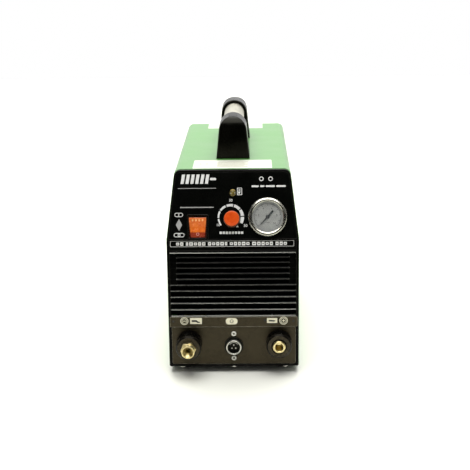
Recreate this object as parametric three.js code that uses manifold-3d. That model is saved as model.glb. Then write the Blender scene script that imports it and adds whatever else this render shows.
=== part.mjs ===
// Plasma cutter unit: a compact air plasma power source in a six-sided sheet-steel housing.
// It has a slanted control panel with a rocker switch, a current knob and an air gauge, a louvred
// front with three connectors, a tube carrying handle, and a fan and an air line at the back.
// Millimetres. +X is the unit's right-hand side seen from the front, +Y its back, +Z up.

import * as THREE from 'three';
import { mergeVertices } from 'three/addons/utils/BufferGeometryUtils.js';
import Module from 'manifold-3d';

const wasm = await Module();
wasm.setup();

// Clearance between pieces that touch.
const GAP = 0.3;
// Length by which a cutting tool runs past the surface that it cuts.
const PAST = 20;
// Sides of a round piece: large, ordinary and small.
const FINE = 32;
const ROUND = 20;
const SMALL = 12;
// Steps of each rounded corner in an outline, doubled by the curve.
const CORNER_STEPS = 2;

// Housing: six-sided section seen from the front, straight from front to back.
const WIDTH = 153;
const TOP_WIDTH = 134;
const LENGTH = 356;
const BASE_Z = 8;
const SHOULDER_Z = 161.5;
const TOP_Z = 239.4;
const SHEET = 1.2;
const TOP_RADIUS = 8;
const SHOULDER_RADIUS = 3;
const LEAN = Math.atan2((WIDTH - TOP_WIDTH) / 2, TOP_Z - SHOULDER_Z);

// Cooling slots through both sides of the cover, in two groups along its length.
const SIDE_SLOTS = { middles: [95, 270], half: 32, rows: 7, bottom: 50, pitch: 12, height: 4 };

// Front and rear reach of the pieces that stand out of the housing.
const FRONT_REACH = 34;
const REAR_REACH = 24;

// Slanted control panel: it leans back from the shoulder line to the top.
const PANEL_SETBACK = 25.3;
const PANEL_TILT = Math.atan2(PANEL_SETBACK, TOP_Z - SHOULDER_Z);
const PANEL_LENGTH = Math.hypot(PANEL_SETBACK, TOP_Z - SHOULDER_Z);

// Front bezel: a visible lip in front of the cover, and a skirt that slides inside it.
const LIP_INSET = 0.9;
const LIP_DEPTH = 4.7;
const COVER_FRONT = 5;
const SKIRT_INSET = SHEET + 0.4;
const SKIRT_DEPTH = 16;
const BEZEL_WALL = 2.4;

// Louvres: the slat pitch grows a little from the top slat to the bottom one.
const LOUVRE_TOP = 147.4;
const LOUVRE_BOTTOM = 69.7;
const LOUVRE_HALF_WIDTH = 72.6;
const SLAT_COUNT = 10;
const FIRST_SLAT_Z = 141.1;
const SLAT_PITCH = 6.2;
const SLAT_PITCH_GROWTH = 0.094;
const SLAT_THICKNESS = 1.5;
const SLAT_DEPTH = 9;
const SLAT_DROP = 1.6;

// Symbol strip and connector plate below the louvres.
const STRIP_BOTTOM = 57.2;
const STRIP_HALF_WIDTH = 74.5;
const STRIP_THICKNESS = 1.2;
const STRIP_RECESS = 0.9;
const PLATE_HALF_WIDTH = 73;
const PLATE_BOTTOM = 10.8;
const PLATE_FRONT = 0.8;
const PLATE_THICKNESS = 2.4;

// Front connectors: places on the connector plate.
const TORCH = { x: -52.2, z: 38 };
const OUTPUT = { x: 52.75, z: 38 };
const CONTROL = { x: 0, z: 33.3 };
const RIVET_SPACING = 30;
const BOSS_RADIUS = 15;
const BOSS_CHAMFER = 2;
const TORCH_BOSS_LENGTH = 21.5;
const OUTPUT_BOSS_LENGTH = 16.4;
const TORCH_STEM_RADIUS = 6;
const TORCH_STUB_RADIUS = 7.6;
const TORCH_MOUTH_RADIUS = 6.4;
const TORCH_BORE_RADIUS = 2.4;
const TORCH_HEX = { flats: 15.9, front: -27, turn: 38 * Math.PI / 180 };
const OUTPUT_RADIUS = 7.25;
const OUTPUT_BORE_RADIUS = 4.5;
const OUTPUT_FACE = 18.8;
const CONTROL_FLANGE_RADIUS = 11.2;
const CONTROL_RING_RADIUS = 8.9;
const CONTROL_BORE_RADIUS = 6.1;
const CONTROL_SEAT_RADIUS = 5.5;
const CONTROL_BODY_RADIUS = 8;

// Panel instruments: x across the panel, v up the slant from the shoulder line.
const ROCKER = { x: -39.9, v: 15.4 };
const ROCKER_SIZE = { width: 19.8, length: 23 };
const ROCKER_WELL = { width: 20.4, length: 25.6 };
const ROCKER_TILT = 12 * Math.PI / 180;
const KNOB = { x: -0.7, v: 24.4 };
const KNOB_RADIUS = 10.2;
const KNOB_CAP_RADIUS = 8.7;
const KNOB_HEIGHT = 13;
const SHAFT_RADIUS = 3;
const LED = { x: 0.45, v: 55 };
const GAUGE = { x: 40.3, v: 26.8 };
const GAUGE_RADIUS = 22.5;
const GAUGE_CASE_RADIUS = 20;
const GAUGE_WINDOW_RADIUS = 17.7;
const GAUGE_DEPTH = 26;
const GAUGE_STEM = 8;
const NEEDLE_ANGLE = 227.6 * Math.PI / 180;

// Overlay sheet on the slanted panel, set into a shallow recess.
const OVERLAY_THICKNESS = 0.6;
const OVERLAY_HALF_BOTTOM = 73.4;
const OVERLAY_HALF_TOP = 64.4;
const OVERLAY_FOOT = 2.2;
const OVERLAY_HEAD = PANEL_LENGTH - 3.4;

// Carrying handle: two posts on the top sheet with a steel tube between them.
const HANDLE_AXIS_Z = 273.3;
const POST_TOP_RADIUS = 16.75;
const POST_BASE_HALF = 20.2;
const POST_DEPTH = 41.5;
const FRONT_POST_Y = 89.5;
const REAR_POST_Y = 234.5;
const TUBE_RADIUS = 12.75;
const TUBE_WALL = 1.5;
const TUBE_GRIP = 22;

// Feet and the screws under the front edge.
const FOOT = { x: 58, front: 26, rear: 330, radius: 10 };
const SCREW_XS = [-60.5, 0, 60.5];
const SCREW_Y = 6;
const SCREW_HOLE_RADIUS = 2.1;
const TRAY_FLANGE = 16;

// Back end: rear panel, fan, mains inlet, air inlet, regulator and earth stud.
const REAR_PANEL_Y = 351;
const REAR_PANEL_THICKNESS = 1.2;
const FAN = { z: 165, half: 46, front: 324, depth: 25, hole: 43 };
const BACK_FACE = REAR_PANEL_Y + REAR_PANEL_THICKNESS + GAP;
const GLAND = { x: -42, z: 40, body: 9.6, bore: 5.5, flats: 24 };
const AIR_INLET = { x: 42, z: 40, body: 5, bore: 2.4, flats: 17 };
const AIR_INLET_END = 338;
const REGULATOR = { x: 40, z: 90, half: 18, front: 308, depth: 40, stem: 9.4 };
const EARTH = { x: 0, z: 30, body: 3, flats: 10 };

// Inside: circuit board on a finned heatsink, and the air valve near the torch connector.
const BOARD = { left: -60, right: 58, front: 70, back: 272, z: 100, thickness: 1.6 };
const HEATSINK = { half: 52, front: 172, back: 266, pitch: 12, fins: 9 };
const VALVE = { x: -50, z: 33, front: 90, back: 130 };

// ---- Solids ----

// A closed geometry as a solid for joining and cutting.
function solid(geometry) {
  const bare = geometry.clone();
  bare.deleteAttribute('normal');
  bare.deleteAttribute('uv');
  const merged = mergeVertices(bare);
  const corners = merged.index.array;
  const triangles = [];
  for (let i = 0; i < corners.length; i += 3) {
    const [a, b, c] = corners.slice(i, i + 3);
    if (a !== b && b !== c && c !== a) triangles.push(a, b, c);
  }
  return new wasm.Manifold(new wasm.Mesh({
    numProp: 3,
    vertProperties: new Float32Array(merged.attributes.position.array),
    triVerts: new Uint32Array(triangles),
  }));
}

function geometryOf(manifold) {
  const { vertProperties, triVerts } = manifold.getMesh();
  const geometry = new THREE.BufferGeometry();
  geometry.setAttribute('position', new THREE.BufferAttribute(vertProperties, 3));
  geometry.setIndex(new THREE.BufferAttribute(triVerts, 1));
  geometry.computeVertexNormals();
  return geometry;
}

function join(first, ...others) {
  return geometryOf(others.reduce((sum, other) => sum.add(solid(other)), solid(first)));
}

function cut(first, ...tools) {
  return geometryOf(tools.reduce((rest, tool) => rest.subtract(solid(tool)), solid(first)));
}

function common(first, second) {
  return geometryOf(solid(first).intersect(solid(second)));
}

// A closed outline through corners [x, y, radius], each rounded by its own radius.
function outline(corners) {
  const shape = new THREE.Shape();
  const count = corners.length;
  corners.forEach(([x, y, radius = 0], index) => {
    const corner = new THREE.Vector2(x, y);
    if (radius === 0) {
      if (index === 0) shape.moveTo(x, y);
      else shape.lineTo(x, y);
      return;
    }
    const back = new THREE.Vector2(...corners[(index + count - 1) % count]).sub(corner).normalize();
    const ahead = new THREE.Vector2(...corners[(index + 1) % count]).sub(corner).normalize();
    const half = Math.acos(back.dot(ahead)) / 2;
    const centre = back.clone().add(ahead).normalize().multiplyScalar(radius / Math.sin(half)).add(corner);
    const start = back.clone().multiplyScalar(radius / Math.tan(half)).add(corner).sub(centre);
    const end = ahead.clone().multiplyScalar(radius / Math.tan(half)).add(corner).sub(centre);
    const clockwise = back.cross(ahead) > 0;
    if (index === 0) shape.moveTo(centre.x + start.x, centre.y + start.y);
    shape.absarc(centre.x, centre.y, radius, start.angle(), end.angle(), clockwise);
  });
  return shape;
}

function rectangle(left, right, bottom, top, radius = 0) {
  return outline([
    [left, bottom, radius],
    [right, bottom, radius],
    [right, top, radius],
    [left, top, radius],
  ]);
}

// An outline in two of the axes, drawn out along the third.
function drawn(shape, length, across, up, along) {
  const settings = { depth: length, bevelEnabled: false, curveSegments: CORNER_STEPS };
  const basis = new THREE.Matrix4().makeBasis(across, up, along);
  return new THREE.ExtrudeGeometry(shape, settings).applyMatrix4(basis);
}

const X = new THREE.Vector3(1, 0, 0);
const Y = new THREE.Vector3(0, 1, 0);
const Z = new THREE.Vector3(0, 0, 1);

function alongX(shape, from, to) {
  return drawn(shape, to - from, Y, Z, X).translate(from, 0, 0);
}

function alongY(shape, from, to) {
  return drawn(shape, to - from, X, Z, Y.clone().negate()).translate(0, to, 0);
}

function alongZ(shape, from, to) {
  return drawn(shape, to - from, X, Y, Z).translate(0, 0, from);
}

function block(left, right, front, back, bottom, top) {
  const geometry = new THREE.BoxGeometry(right - left, back - front, top - bottom);
  return geometry.translate((left + right) / 2, (front + back) / 2, (bottom + top) / 2);
}

// A turned piece about the Y axis. Its profile is [radius, y] points, going round anticlockwise.
function turned(profile, segments = ROUND) {
  const points = profile.map(([radius, y]) => new THREE.Vector2(radius, y));
  return new THREE.LatheGeometry(points, segments);
}

function rod(radius, from, to, segments = ROUND) {
  return turned([[0, from], [radius, from], [radius, to], [0, to]], segments);
}

// A ring of square section about the Y axis.
function ring(inner, outer, from, to, segments = ROUND) {
  return turned([[inner, from], [outer, from], [outer, to], [inner, to], [inner, from]], segments);
}

// A round bar standing on the Z axis at x and y.
function post(x, y, radius, from, to, segments = ROUND) {
  return rod(radius, from, to, segments).rotateX(Math.PI / 2).translate(x, y, 0);
}

// A hexagonal bar about the Y axis, given its size across flats.
function hexagon(acrossFlats, from, to) {
  const radius = acrossFlats / Math.sqrt(3);
  return new THREE.CylinderGeometry(radius, radius, to - from, 6).translate(0, (from + to) / 2, 0);
}

// A piece made about the Y axis, moved to a place on the front or the back.
function placed(geometry, place) {
  return geometry.translate(place.x, 0, place.z);
}

// A piece made about the Y axis, turned to stand on the panel: y becomes the height above it.
function standing(geometry, place) {
  return geometry.rotateX(Math.PI / 2).translate(place.x, place.v, 0);
}

// A round hose through the given points.
function hose(points, radius, steps) {
  const stops = points.map((point) => new THREE.Vector3(...point));
  const path = new THREE.CatmullRomCurve3(stops, false, 'centripetal');
  const section = new THREE.Shape();
  section.absarc(0, 0, radius, 0, 2 * Math.PI, false);
  return new THREE.ExtrudeGeometry(section, { steps, curveSegments: 4, extrudePath: path });
}

// ---- Scene graph ----

const unit = new THREE.Group();
unit.position.y = (FRONT_REACH - LENGTH - REAR_REACH) / 2;

// The slanted panel's own frame: x across, y up the slant, z out of the panel.
const panel = new THREE.Group();
panel.position.z = SHOULDER_Z;
panel.rotation.x = Math.PI / 2 - PANEL_TILT;
panel.updateMatrix();
unit.add(panel);

function add(parent, name, geometry, color, roughness, metalness = 0) {
  const mesh = new THREE.Mesh(geometry, new THREE.MeshStandardMaterial({ color, roughness, metalness }));
  mesh.name = name;
  parent.add(mesh);
}

// A tool made in the panel's frame, moved into the unit's frame.
function fromPanel(geometry) {
  return geometry.applyMatrix4(panel.matrix);
}

const BLACK = 0x0b0b0b;
const PAINT = 0x3f9a3c;
const BRASS = 0xb08d4a;
const STEEL = 0xc9c9c4;
const CREAM = 0xd9d4c2;
const RUBBER = 0x141414;
const ORANGE = 0xd24812;
const COPPER = 0xa8642c;

// ---- Housing ----

// The housing's section, moved inwards by inset, standing on bottom.
function housingOutline(inset, bottom) {
  const half = WIDTH / 2 - inset;
  const shoulder = SHOULDER_Z - inset * Math.tan(LEAN / 2);
  const top = TOP_Z - inset;
  const topHalf = half - (top - shoulder) * Math.tan(LEAN);
  const round = TOP_RADIUS - inset;
  return outline([
    [-half, bottom],
    [half, bottom],
    [half, shoulder, SHOULDER_RADIUS],
    [topHalf, top, round],
    [-topHalf, top, round],
    [-half, shoulder, SHOULDER_RADIUS],
  ]);
}

// The front's line in side view, from low to high, moved back by setback.
function frontLine(setback, low, high) {
  const lean = Math.tan(PANEL_TILT);
  return [[setback, low], [setback, SHOULDER_Z], [setback + (high - SHOULDER_Z) * lean, high]];
}

// A slice of the housing's section that follows the front's line from one setback to another.
function frontSlice(inset, bottom, from, to) {
  const near = frontLine(from, -PAST, TOP_Z + PAST);
  const far = frontLine(to, -PAST, TOP_Z + PAST).reverse();
  const body = alongY(housingOutline(inset, bottom), from - PAST, to + 3 * PAST);
  return common(body, alongX(outline([...near, ...far]), -WIDTH, WIDTH));
}

// Cooling slots in both sides of the cover: one group near the front and one near the back.
function sideSlots() {
  const { middles, half, rows, bottom, pitch, height } = SIDE_SLOTS;
  const slots = [];
  for (const middle of middles) {
    for (let row = 0; row < rows; row += 1) {
      const z = bottom + row * pitch;
      slots.push(block(-WIDTH, WIDTH, middle - half, middle + half, z, z + height));
    }
  }
  return slots;
}

function cover() {
  const shell = cut(
    alongY(housingOutline(0, BASE_Z), 0, LENGTH),
    alongY(housingOutline(SHEET, -PAST), -PAST, LENGTH + PAST),
    frontSlice(-1, -PAST, -3 * PAST, COVER_FRONT),
  );
  return cut(shell, ...sideSlots());
}

function screwHoles() {
  return SCREW_XS.map((x) => post(x, SCREW_Y, SCREW_HOLE_RADIUS, 0, PAST, SMALL));
}

// Flat steel tray with two upturned sides.
function baseTray() {
  const half = WIDTH / 2 - SKIRT_INSET;
  const back = REAR_PANEL_Y - GAP;
  const flangeFront = SKIRT_DEPTH + 1;
  return cut(
    join(
      block(-half, half, COVER_FRONT, back, BASE_Z, BASE_Z + SHEET),
      block(-half, -half + SHEET, flangeFront, back, BASE_Z, BASE_Z + TRAY_FLANGE),
      block(half - SHEET, half, flangeFront, back, BASE_Z, BASE_Z + TRAY_FLANGE),
    ),
    ...screwHoles(),
  );
}

// Height of a slat's front edge, counted from the top slat.
function slatZ(index) {
  return FIRST_SLAT_Z - SLAT_PITCH * index - SLAT_PITCH_GROWTH * index * index;
}

function slats() {
  const half = SLAT_THICKNESS / 2;
  const blades = [];
  for (let index = 0; index < SLAT_COUNT; index += 1) {
    const z = slatZ(index);
    const back = z - SLAT_DROP;
    const side = [[GAP, z - half], [SLAT_DEPTH, back - half], [SLAT_DEPTH, back + half], [GAP, z + half]];
    blades.push(alongX(outline(side), -LOUVRE_HALF_WIDTH - 1, LOUVRE_HALF_WIDTH + 1));
  }
  return blades;
}

// Short upright ribs that join the ends of the upper slats.
function louvreRibs() {
  const bottom = slatZ(5);
  return [-1, 1].map((side) => {
    const inner = side * 65;
    const outer = side * (LOUVRE_HALF_WIDTH + 1);
    return block(Math.min(inner, outer), Math.max(inner, outer), 1.5, SLAT_DEPTH, bottom, LOUVRE_TOP + 1);
  });
}

function overlayOutline(extra) {
  return outline([
    [-OVERLAY_HALF_BOTTOM - extra, OVERLAY_FOOT - extra, 1 + extra],
    [OVERLAY_HALF_BOTTOM + extra, OVERLAY_FOOT - extra, 1 + extra],
    [OVERLAY_HALF_TOP + extra, OVERLAY_HEAD + extra, 6 + extra],
    [-OVERLAY_HALF_TOP - extra, OVERLAY_HEAD + extra, 6 + extra],
  ]);
}

// Openings through the panel for its instruments, made in the panel's frame.
function panelOpenings() {
  return [
    alongZ(aroundWell(1.3), -PAST, PAST).translate(ROCKER.x, ROCKER.v, 0),
    standing(rod(SHAFT_RADIUS + 1.2, -PAST, PAST), KNOB),
    standing(rod(3.2, -PAST, PAST), LED),
    standing(rod(GAUGE_CASE_RADIUS + GAP, -PAST, PAST, FINE), GAUGE),
  ];
}

function frontBezel() {
  const inner = SKIRT_INSET + BEZEL_WALL;
  const floor = BASE_Z + SHEET + GAP;
  const lip = frontSlice(LIP_INSET, BASE_Z, 0, LIP_DEPTH);
  const skirt = frontSlice(SKIRT_INSET, floor, LIP_DEPTH - 1, SKIRT_DEPTH);
  const shell = cut(
    join(lip, skirt),
    frontSlice(inner, floor + BEZEL_WALL, BEZEL_WALL, SKIRT_DEPTH + PAST),
    block(-LOUVRE_HALF_WIDTH, LOUVRE_HALF_WIDTH, -PAST, PAST, LOUVRE_BOTTOM, LOUVRE_TOP),
  );
  const edge = PLATE_HALF_WIDTH + GAP;
  const stripHalf = STRIP_HALF_WIDTH + GAP;
  return cut(
    join(shell, ...slats(), ...louvreRibs()),
    block(-edge, edge, -PAST, PLATE_FRONT + PLATE_THICKNESS + GAP, PLATE_BOTTOM - GAP, STRIP_BOTTOM - GAP),
    block(-edge + 4, edge - 4, -PAST, PAST, PLATE_BOTTOM + 3, STRIP_BOTTOM - 3),
    block(-stripHalf, stripHalf, -PAST, STRIP_RECESS, STRIP_BOTTOM - GAP, LOUVRE_BOTTOM + 1),
    fromPanel(alongZ(overlayOutline(GAP), -OVERLAY_THICKNESS - GAP, PAST)),
    ...panelOpenings().map(fromPanel),
    ...screwHoles(),
  );
}

function controlOverlay() {
  return cut(alongZ(overlayOutline(0), -OVERLAY_THICKNESS, 0), ...panelOpenings());
}

// Thin strip between the louvres and the connector plate.
function symbolStrip() {
  const half = STRIP_HALF_WIDTH;
  const front = STRIP_RECESS - GAP - STRIP_THICKNESS;
  const shape = rectangle(-half, half, STRIP_BOTTOM, LOUVRE_BOTTOM - GAP, 1);
  return alongY(shape, front, front + STRIP_THICKNESS);
}

function connectorPlate() {
  const top = STRIP_BOTTOM - 2 * GAP;
  const back = PLATE_FRONT + PLATE_THICKNESS;
  return cut(
    alongY(rectangle(-PLATE_HALF_WIDTH, PLATE_HALF_WIDTH, PLATE_BOTTOM, top, 2), PLATE_FRONT, back),
    placed(rod(TORCH_STEM_RADIUS + GAP, -PAST, PAST), TORCH),
    placed(rod(OUTPUT_RADIUS + GAP, -PAST, PAST), OUTPUT),
    placed(rod(CONTROL_BODY_RADIUS + GAP, -PAST, PAST), CONTROL),
    ...rivetPlaces().map((place) => placed(rod(1.7, -PAST, PAST, SMALL), place)),
  );
}

// ---- Front connectors ----

function rivetPlaces() {
  return [1, -1].map((side) => ({ x: CONTROL.x, z: CONTROL.z + side * RIVET_SPACING / 2 }));
}

// Moulded collar with a chamfered face, and a bore for the metal piece.
function boss(length, bore) {
  const base = PLATE_FRONT - GAP;
  return turned([
    [bore, base],
    [bore, -length],
    [BOSS_RADIUS - BOSS_CHAMFER, -length],
    [BOSS_RADIUS - 0.3, -length + BOSS_CHAMFER],
    [BOSS_RADIUS, base],
    [bore, base],
  ]);
}

// Brass air and current connector: a hexagon, a threaded stub with a flared mouth, and a long stem.
function torchConnector() {
  const hexBack = -TORCH_BOSS_LENGTH - GAP;
  const face = -FRONT_REACH;
  const radius = TORCH_STUB_RADIUS;
  const root = TORCH_HEX.front + 1;
  const stub = turned([[0, face], [radius - 0.4, face], [radius, face + 0.5], [radius, root], [0, root]]);
  const wide = TORCH_MOUTH_RADIUS;
  const mouth = turned([[0, face - 1], [wide, face - 1], [wide, face + 0.6], [0, face + 15]]);
  return cut(
    join(
      rod(TORCH_STEM_RADIUS, hexBack - 1, PAST),
      hexagon(TORCH_HEX.flats, TORCH_HEX.front, hexBack).rotateY(TORCH_HEX.turn),
      stub,
    ),
    rod(TORCH_BORE_RADIUS, face - 1, PAST + 1, SMALL),
    mouth,
  );
}

// Brass twist-lock socket with a key at the top of its bore, and a stud for the cable inside.
function outputSocket() {
  const face = -OUTPUT_FACE;
  const radius = OUTPUT_RADIUS;
  const body = turned([[0, face], [radius - 0.65, face], [radius, face + 0.7], [radius, 8], [0, 8]]);
  const stud = rod(4, 7, 24, SMALL);
  const key = block(-1.9, 1.9, face + 0.6, face + 8, 2.7, 5);
  return join(cut(join(body, stud), rod(OUTPUT_BORE_RADIUS, -PAST, 2)), key);
}

// Nickel shell of the control socket: a ring in front of a flange, and a step that seats the insert.
function controlShell() {
  const plate = PLATE_FRONT - GAP;
  const rim = CONTROL_RING_RADIUS;
  const flange = CONTROL_FLANGE_RADIUS;
  return turned([
    [CONTROL_BORE_RADIUS, -6],
    [rim - 0.6, -6],
    [rim, -5.4],
    [rim, -1.2],
    [flange, -1.2],
    [flange, plate],
    [CONTROL_BODY_RADIUS, plate],
    [CONTROL_BODY_RADIUS, 14],
    [CONTROL_SEAT_RADIUS, 14],
    [CONTROL_SEAT_RADIUS, -1.4],
    [CONTROL_BORE_RADIUS, -1.4],
    [CONTROL_BORE_RADIUS, -6],
  ]);
}

// Black insert with three short contact pins.
function controlInsert() {
  const pins = [];
  for (let index = 0; index < 3; index += 1) {
    const angle = (index / 3) * 2 * Math.PI;
    const place = { x: 2.6 * Math.sin(angle), z: 2.6 * Math.cos(angle) };
    pins.push(placed(rod(0.8, -1.4, 16, 8), place));
  }
  return join(rod(CONTROL_SEAT_RADIUS - GAP, 0.4, 13), ...pins);
}

// Hollow rivet with a rounded rim.
function rivet() {
  const plate = PLATE_FRONT - GAP;
  return turned([
    [0.9, -0.4],
    [1.5, -1],
    [2.3, -0.9],
    [3.05, plate - 0.3],
    [3.05, plate],
    [1.4, plate],
    [1.4, 6],
    [0.9, 6],
    [0.9, -0.4],
  ], SMALL);
}

// ---- Panel instruments, in the panel's frame ----

// A rectangle centred on the rocker's well and larger than it by margin all round.
function aroundWell(margin, radius = 0) {
  const across = ROCKER_WELL.width / 2 + margin;
  const along = ROCKER_WELL.length / 2 + margin;
  return rectangle(-across, across, -along, along, radius);
}

// Switch housing: a flange on the panel, a well for the rocker, and four blade terminals behind.
function rockerHousing() {
  const terminals = [];
  for (const x of [-6, 6]) {
    for (const y of [-8, 8]) {
      terminals.push(block(x - 0.4, x + 0.4, y - 3, y + 3, -30, -18));
    }
  }
  return cut(
    join(alongZ(aroundWell(2, 1.2), GAP, 2), alongZ(aroundWell(0.8), -20, 1), ...terminals),
    alongZ(aroundWell(0), -9, PAST),
  );
}

// Rocker cap in the off position: its upper end stands out and its lower end is pressed in.
function rocker() {
  const end = ROCKER_SIZE.length / 2;
  const side = [[-end, 4.2], [-9.6, -4], [-4, -6], [4, -6], [9.6, -4], [end, 4.2], [0, 1.8]];
  const half = ROCKER_SIZE.width / 2;
  return alongX(outline(side), -half, half).rotateX(ROCKER_TILT);
}

// Knob body with a skirt at its foot and a blind bore for the shaft.
function knobBody() {
  const bore = SHAFT_RADIUS + GAP;
  return turned([
    [bore, 10],
    [bore, 1.4],
    [KNOB_RADIUS, 1.4],
    [KNOB_RADIUS, 3.4],
    [KNOB_CAP_RADIUS + 0.6, 4.2],
    [KNOB_CAP_RADIUS + 0.3, KNOB_HEIGHT],
    [0, KNOB_HEIGHT],
    [0, 10],
    [bore, 10],
  ]);
}

function knobCap() {
  const base = KNOB_HEIGHT + GAP;
  const radius = KNOB_CAP_RADIUS;
  return turned([[0, base], [radius, base], [radius, base + 1.2], [radius - 1, base + 2], [0, base + 2]]);
}

// Potentiometer behind the panel, with a bushing round the shaft.
function potentiometer() {
  return cut(
    join(rod(8.2, -13, -3.4), rod(SHAFT_RADIUS + 0.9, -4, 0.9)),
    rod(SHAFT_RADIUS + GAP, -8, PAST),
  );
}

function ledBezel() {
  return turned([[2.6, -8], [3, -8], [3, GAP], [4.1, GAP], [3.8, 1.4], [2.9, 2.2], [2.6, 1.8], [2.6, -8]]);
}

function ledLens() {
  return turned([[0, -7], [2.3, -7], [2.3, 1.2], [1.7, 2.3], [0, 2.8]], SMALL);
}

function gaugeCase() {
  const inner = GAUGE_CASE_RADIUS - 1.5;
  return turned([
    [0, -GAUGE_DEPTH - GAUGE_STEM],
    [4, -GAUGE_DEPTH - GAUGE_STEM],
    [4, -GAUGE_DEPTH],
    [GAUGE_CASE_RADIUS, -GAUGE_DEPTH],
    [GAUGE_CASE_RADIUS, 4],
    [inner, 4],
    [inner, -GAUGE_DEPTH + 2],
    [0, -GAUGE_DEPTH + 2],
  ]);
}

// Polished ring that holds the lens down on the case.
function gaugeRing() {
  const inner = GAUGE_CASE_RADIUS + 0.4;
  return turned([
    [inner, GAP],
    [GAUGE_RADIUS, GAP],
    [GAUGE_RADIUS, 4],
    [GAUGE_RADIUS - 1.4, 6.2],
    [GAUGE_WINDOW_RADIUS + 1.2, 6.6],
    [GAUGE_WINDOW_RADIUS, 5.6],
    [inner, 5.6],
    [inner, GAP],
  ], FINE);
}

function gaugeDial() {
  return ring(1.1, GAUGE_CASE_RADIUS - 1.8, 1.7, 2.3);
}

function gaugeLens() {
  return rod(GAUGE_CASE_RADIUS - 0.1, 4.3, 5.3);
}

// Needle with a long pointer, a short tail and a hub; drawn pointing along +x, then set to zero.
function gaugeNeedle() {
  const blade = outline([[-9.5, -0.9], [-9.5, 0.9], [0, 1], [12.6, 0.25], [12.6, -0.25], [0, -1]].reverse());
  const hub = rod(2.2, 2.6, 3.9, SMALL).rotateX(Math.PI / 2);
  const pin = rod(0.7, 0, 3, 8).rotateX(Math.PI / 2);
  return join(alongZ(blade, 2.9, 3.5), hub, pin).rotateZ(NEEDLE_ANGLE);
}

// ---- Handle and feet ----

function handlePost(front, bore) {
  const back = front + POST_DEPTH;
  const foot = TOP_Z + GAP;
  const edge = 2.5;
  const section = new THREE.Shape();
  section.moveTo(-POST_BASE_HALF, foot - PAST / 2);
  section.lineTo(POST_BASE_HALF, foot - PAST / 2);
  section.lineTo(POST_BASE_HALF, foot);
  section.absarc(0, HANDLE_AXIS_Z, POST_TOP_RADIUS, 0.1, Math.PI - 0.1, false);
  section.lineTo(-POST_BASE_HALF, foot);
  const body = new THREE.ExtrudeGeometry(section, {
    depth: POST_DEPTH - 2 * edge,
    bevelThickness: edge,
    bevelSize: edge,
    bevelOffset: -edge,
    bevelSegments: 1,
    curveSegments: 7,
  });
  body.applyMatrix4(new THREE.Matrix4().makeBasis(X, Z, Y.clone().negate())).translate(0, back - edge, 0);
  const socket = rod(TUBE_RADIUS + GAP, bore.from, bore.to).translate(0, 0, HANDLE_AXIS_Z);
  return cut(body, block(-WIDTH, WIDTH, 0, LENGTH, foot - 2 * PAST, foot), socket);
}

function handleTube() {
  const from = FRONT_POST_Y + POST_DEPTH - TUBE_GRIP + GAP;
  const to = REAR_POST_Y + TUBE_GRIP - GAP;
  return ring(TUBE_RADIUS - TUBE_WALL, TUBE_RADIUS, from, to).translate(0, 0, HANDLE_AXIS_Z);
}

function foot() {
  const { radius } = FOOT;
  const top = BASE_Z - GAP;
  const profile = [[0, 0], [radius - 1.5, 0], [radius - 0.5, 1], [radius, top], [0, top]];
  return turned(profile, 16).rotateX(Math.PI / 2);
}

// Pan-head screw standing on its head, its shank going up into the bezel.
function undersideScrew() {
  const head = BASE_Z - GAP;
  const profile = [
    [0, head - 2.2],
    [2, head - 2.2],
    [3.2, head - 1],
    [3.2, head],
    [1.7, head],
    [1.7, head + 8],
    [0, head + 8],
  ];
  return turned(profile, SMALL).rotateX(Math.PI / 2);
}

// ---- Back end ----

function rearPanel() {
  const back = REAR_PANEL_Y + REAR_PANEL_THICKNESS;
  return cut(
    alongY(housingOutline(SKIRT_INSET, BASE_Z + SHEET + GAP), REAR_PANEL_Y, back),
    placed(rod(FAN.hole, 0, LENGTH, FINE), { x: 0, z: FAN.z }),
    placed(rod(GLAND.body + 0.4, 0, LENGTH), GLAND),
    placed(rod(AIR_INLET.body + 0.4, 0, LENGTH), AIR_INLET),
    placed(rod(REGULATOR.stem + 0.6, 0, LENGTH), REGULATOR),
    placed(rod(EARTH.body + 0.4, 0, LENGTH), EARTH),
  );
}

// Two flat bars about the Y axis that cross on the diagonals.
function diagonals(reach, from, to, halfWidth) {
  return [1, -1].map((side) => {
    const bar = block(-reach, reach, from, to, -halfWidth, halfWidth);
    return bar.rotateY(side * Math.PI / 4);
  });
}

// Guard of concentric rings on two crossed bars.
function fanGuard() {
  const front = BACK_FACE;
  const rings = [44.5, 34, 23.5, 13].map((radius) => ring(radius - 1, radius + 1, front, front + 2));
  return join(...rings, ...diagonals(54, front, front + 1.6, 1.2)).translate(0, 0, FAN.z);
}

function fanFrame() {
  const { half, front, depth } = FAN;
  const square = cut(
    alongY(rectangle(-half, half, -half, half, 4), front, front + depth),
    rod(half - 2.5, 0, LENGTH, FINE),
  );
  const hub = rod(17, front, front + 4);
  return join(square, hub, ...diagonals(half, front, front + 3, 2.5)).translate(0, 0, FAN.z);
}

// Seven pitched blades on a hub.
function fanRotor() {
  const blades = [];
  for (let index = 0; index < 7; index += 1) {
    const blade = block(14, 42, -8, 8, -0.8, 0.8).rotateX(0.7).translate(0, FAN.front + 14, 0);
    blades.push(blade.rotateY(index * 2 * Math.PI / 7));
  }
  return join(rod(18, FAN.front + 5, FAN.front + 23), ...blades).translate(0, 0, FAN.z);
}

// Cable gland: a bore right through, a hexagon and a dome nut outside, a locknut inside.
function cableGland() {
  const outside = BACK_FACE;
  const dome = turned([
    [0, outside + 5],
    [11.8, outside + 5],
    [11.4, outside + 15],
    [8, outside + 21],
    [0, outside + 21],
  ]);
  return cut(
    join(
      rod(GLAND.body, REAR_PANEL_Y - 7, outside + 8),
      hexagon(GLAND.flats, outside, outside + 6),
      dome,
      hexagon(GLAND.flats, REAR_PANEL_Y - 6, REAR_PANEL_Y - GAP),
    ),
    rod(GLAND.bore, 0, LENGTH + 2 * PAST),
  );
}

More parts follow.
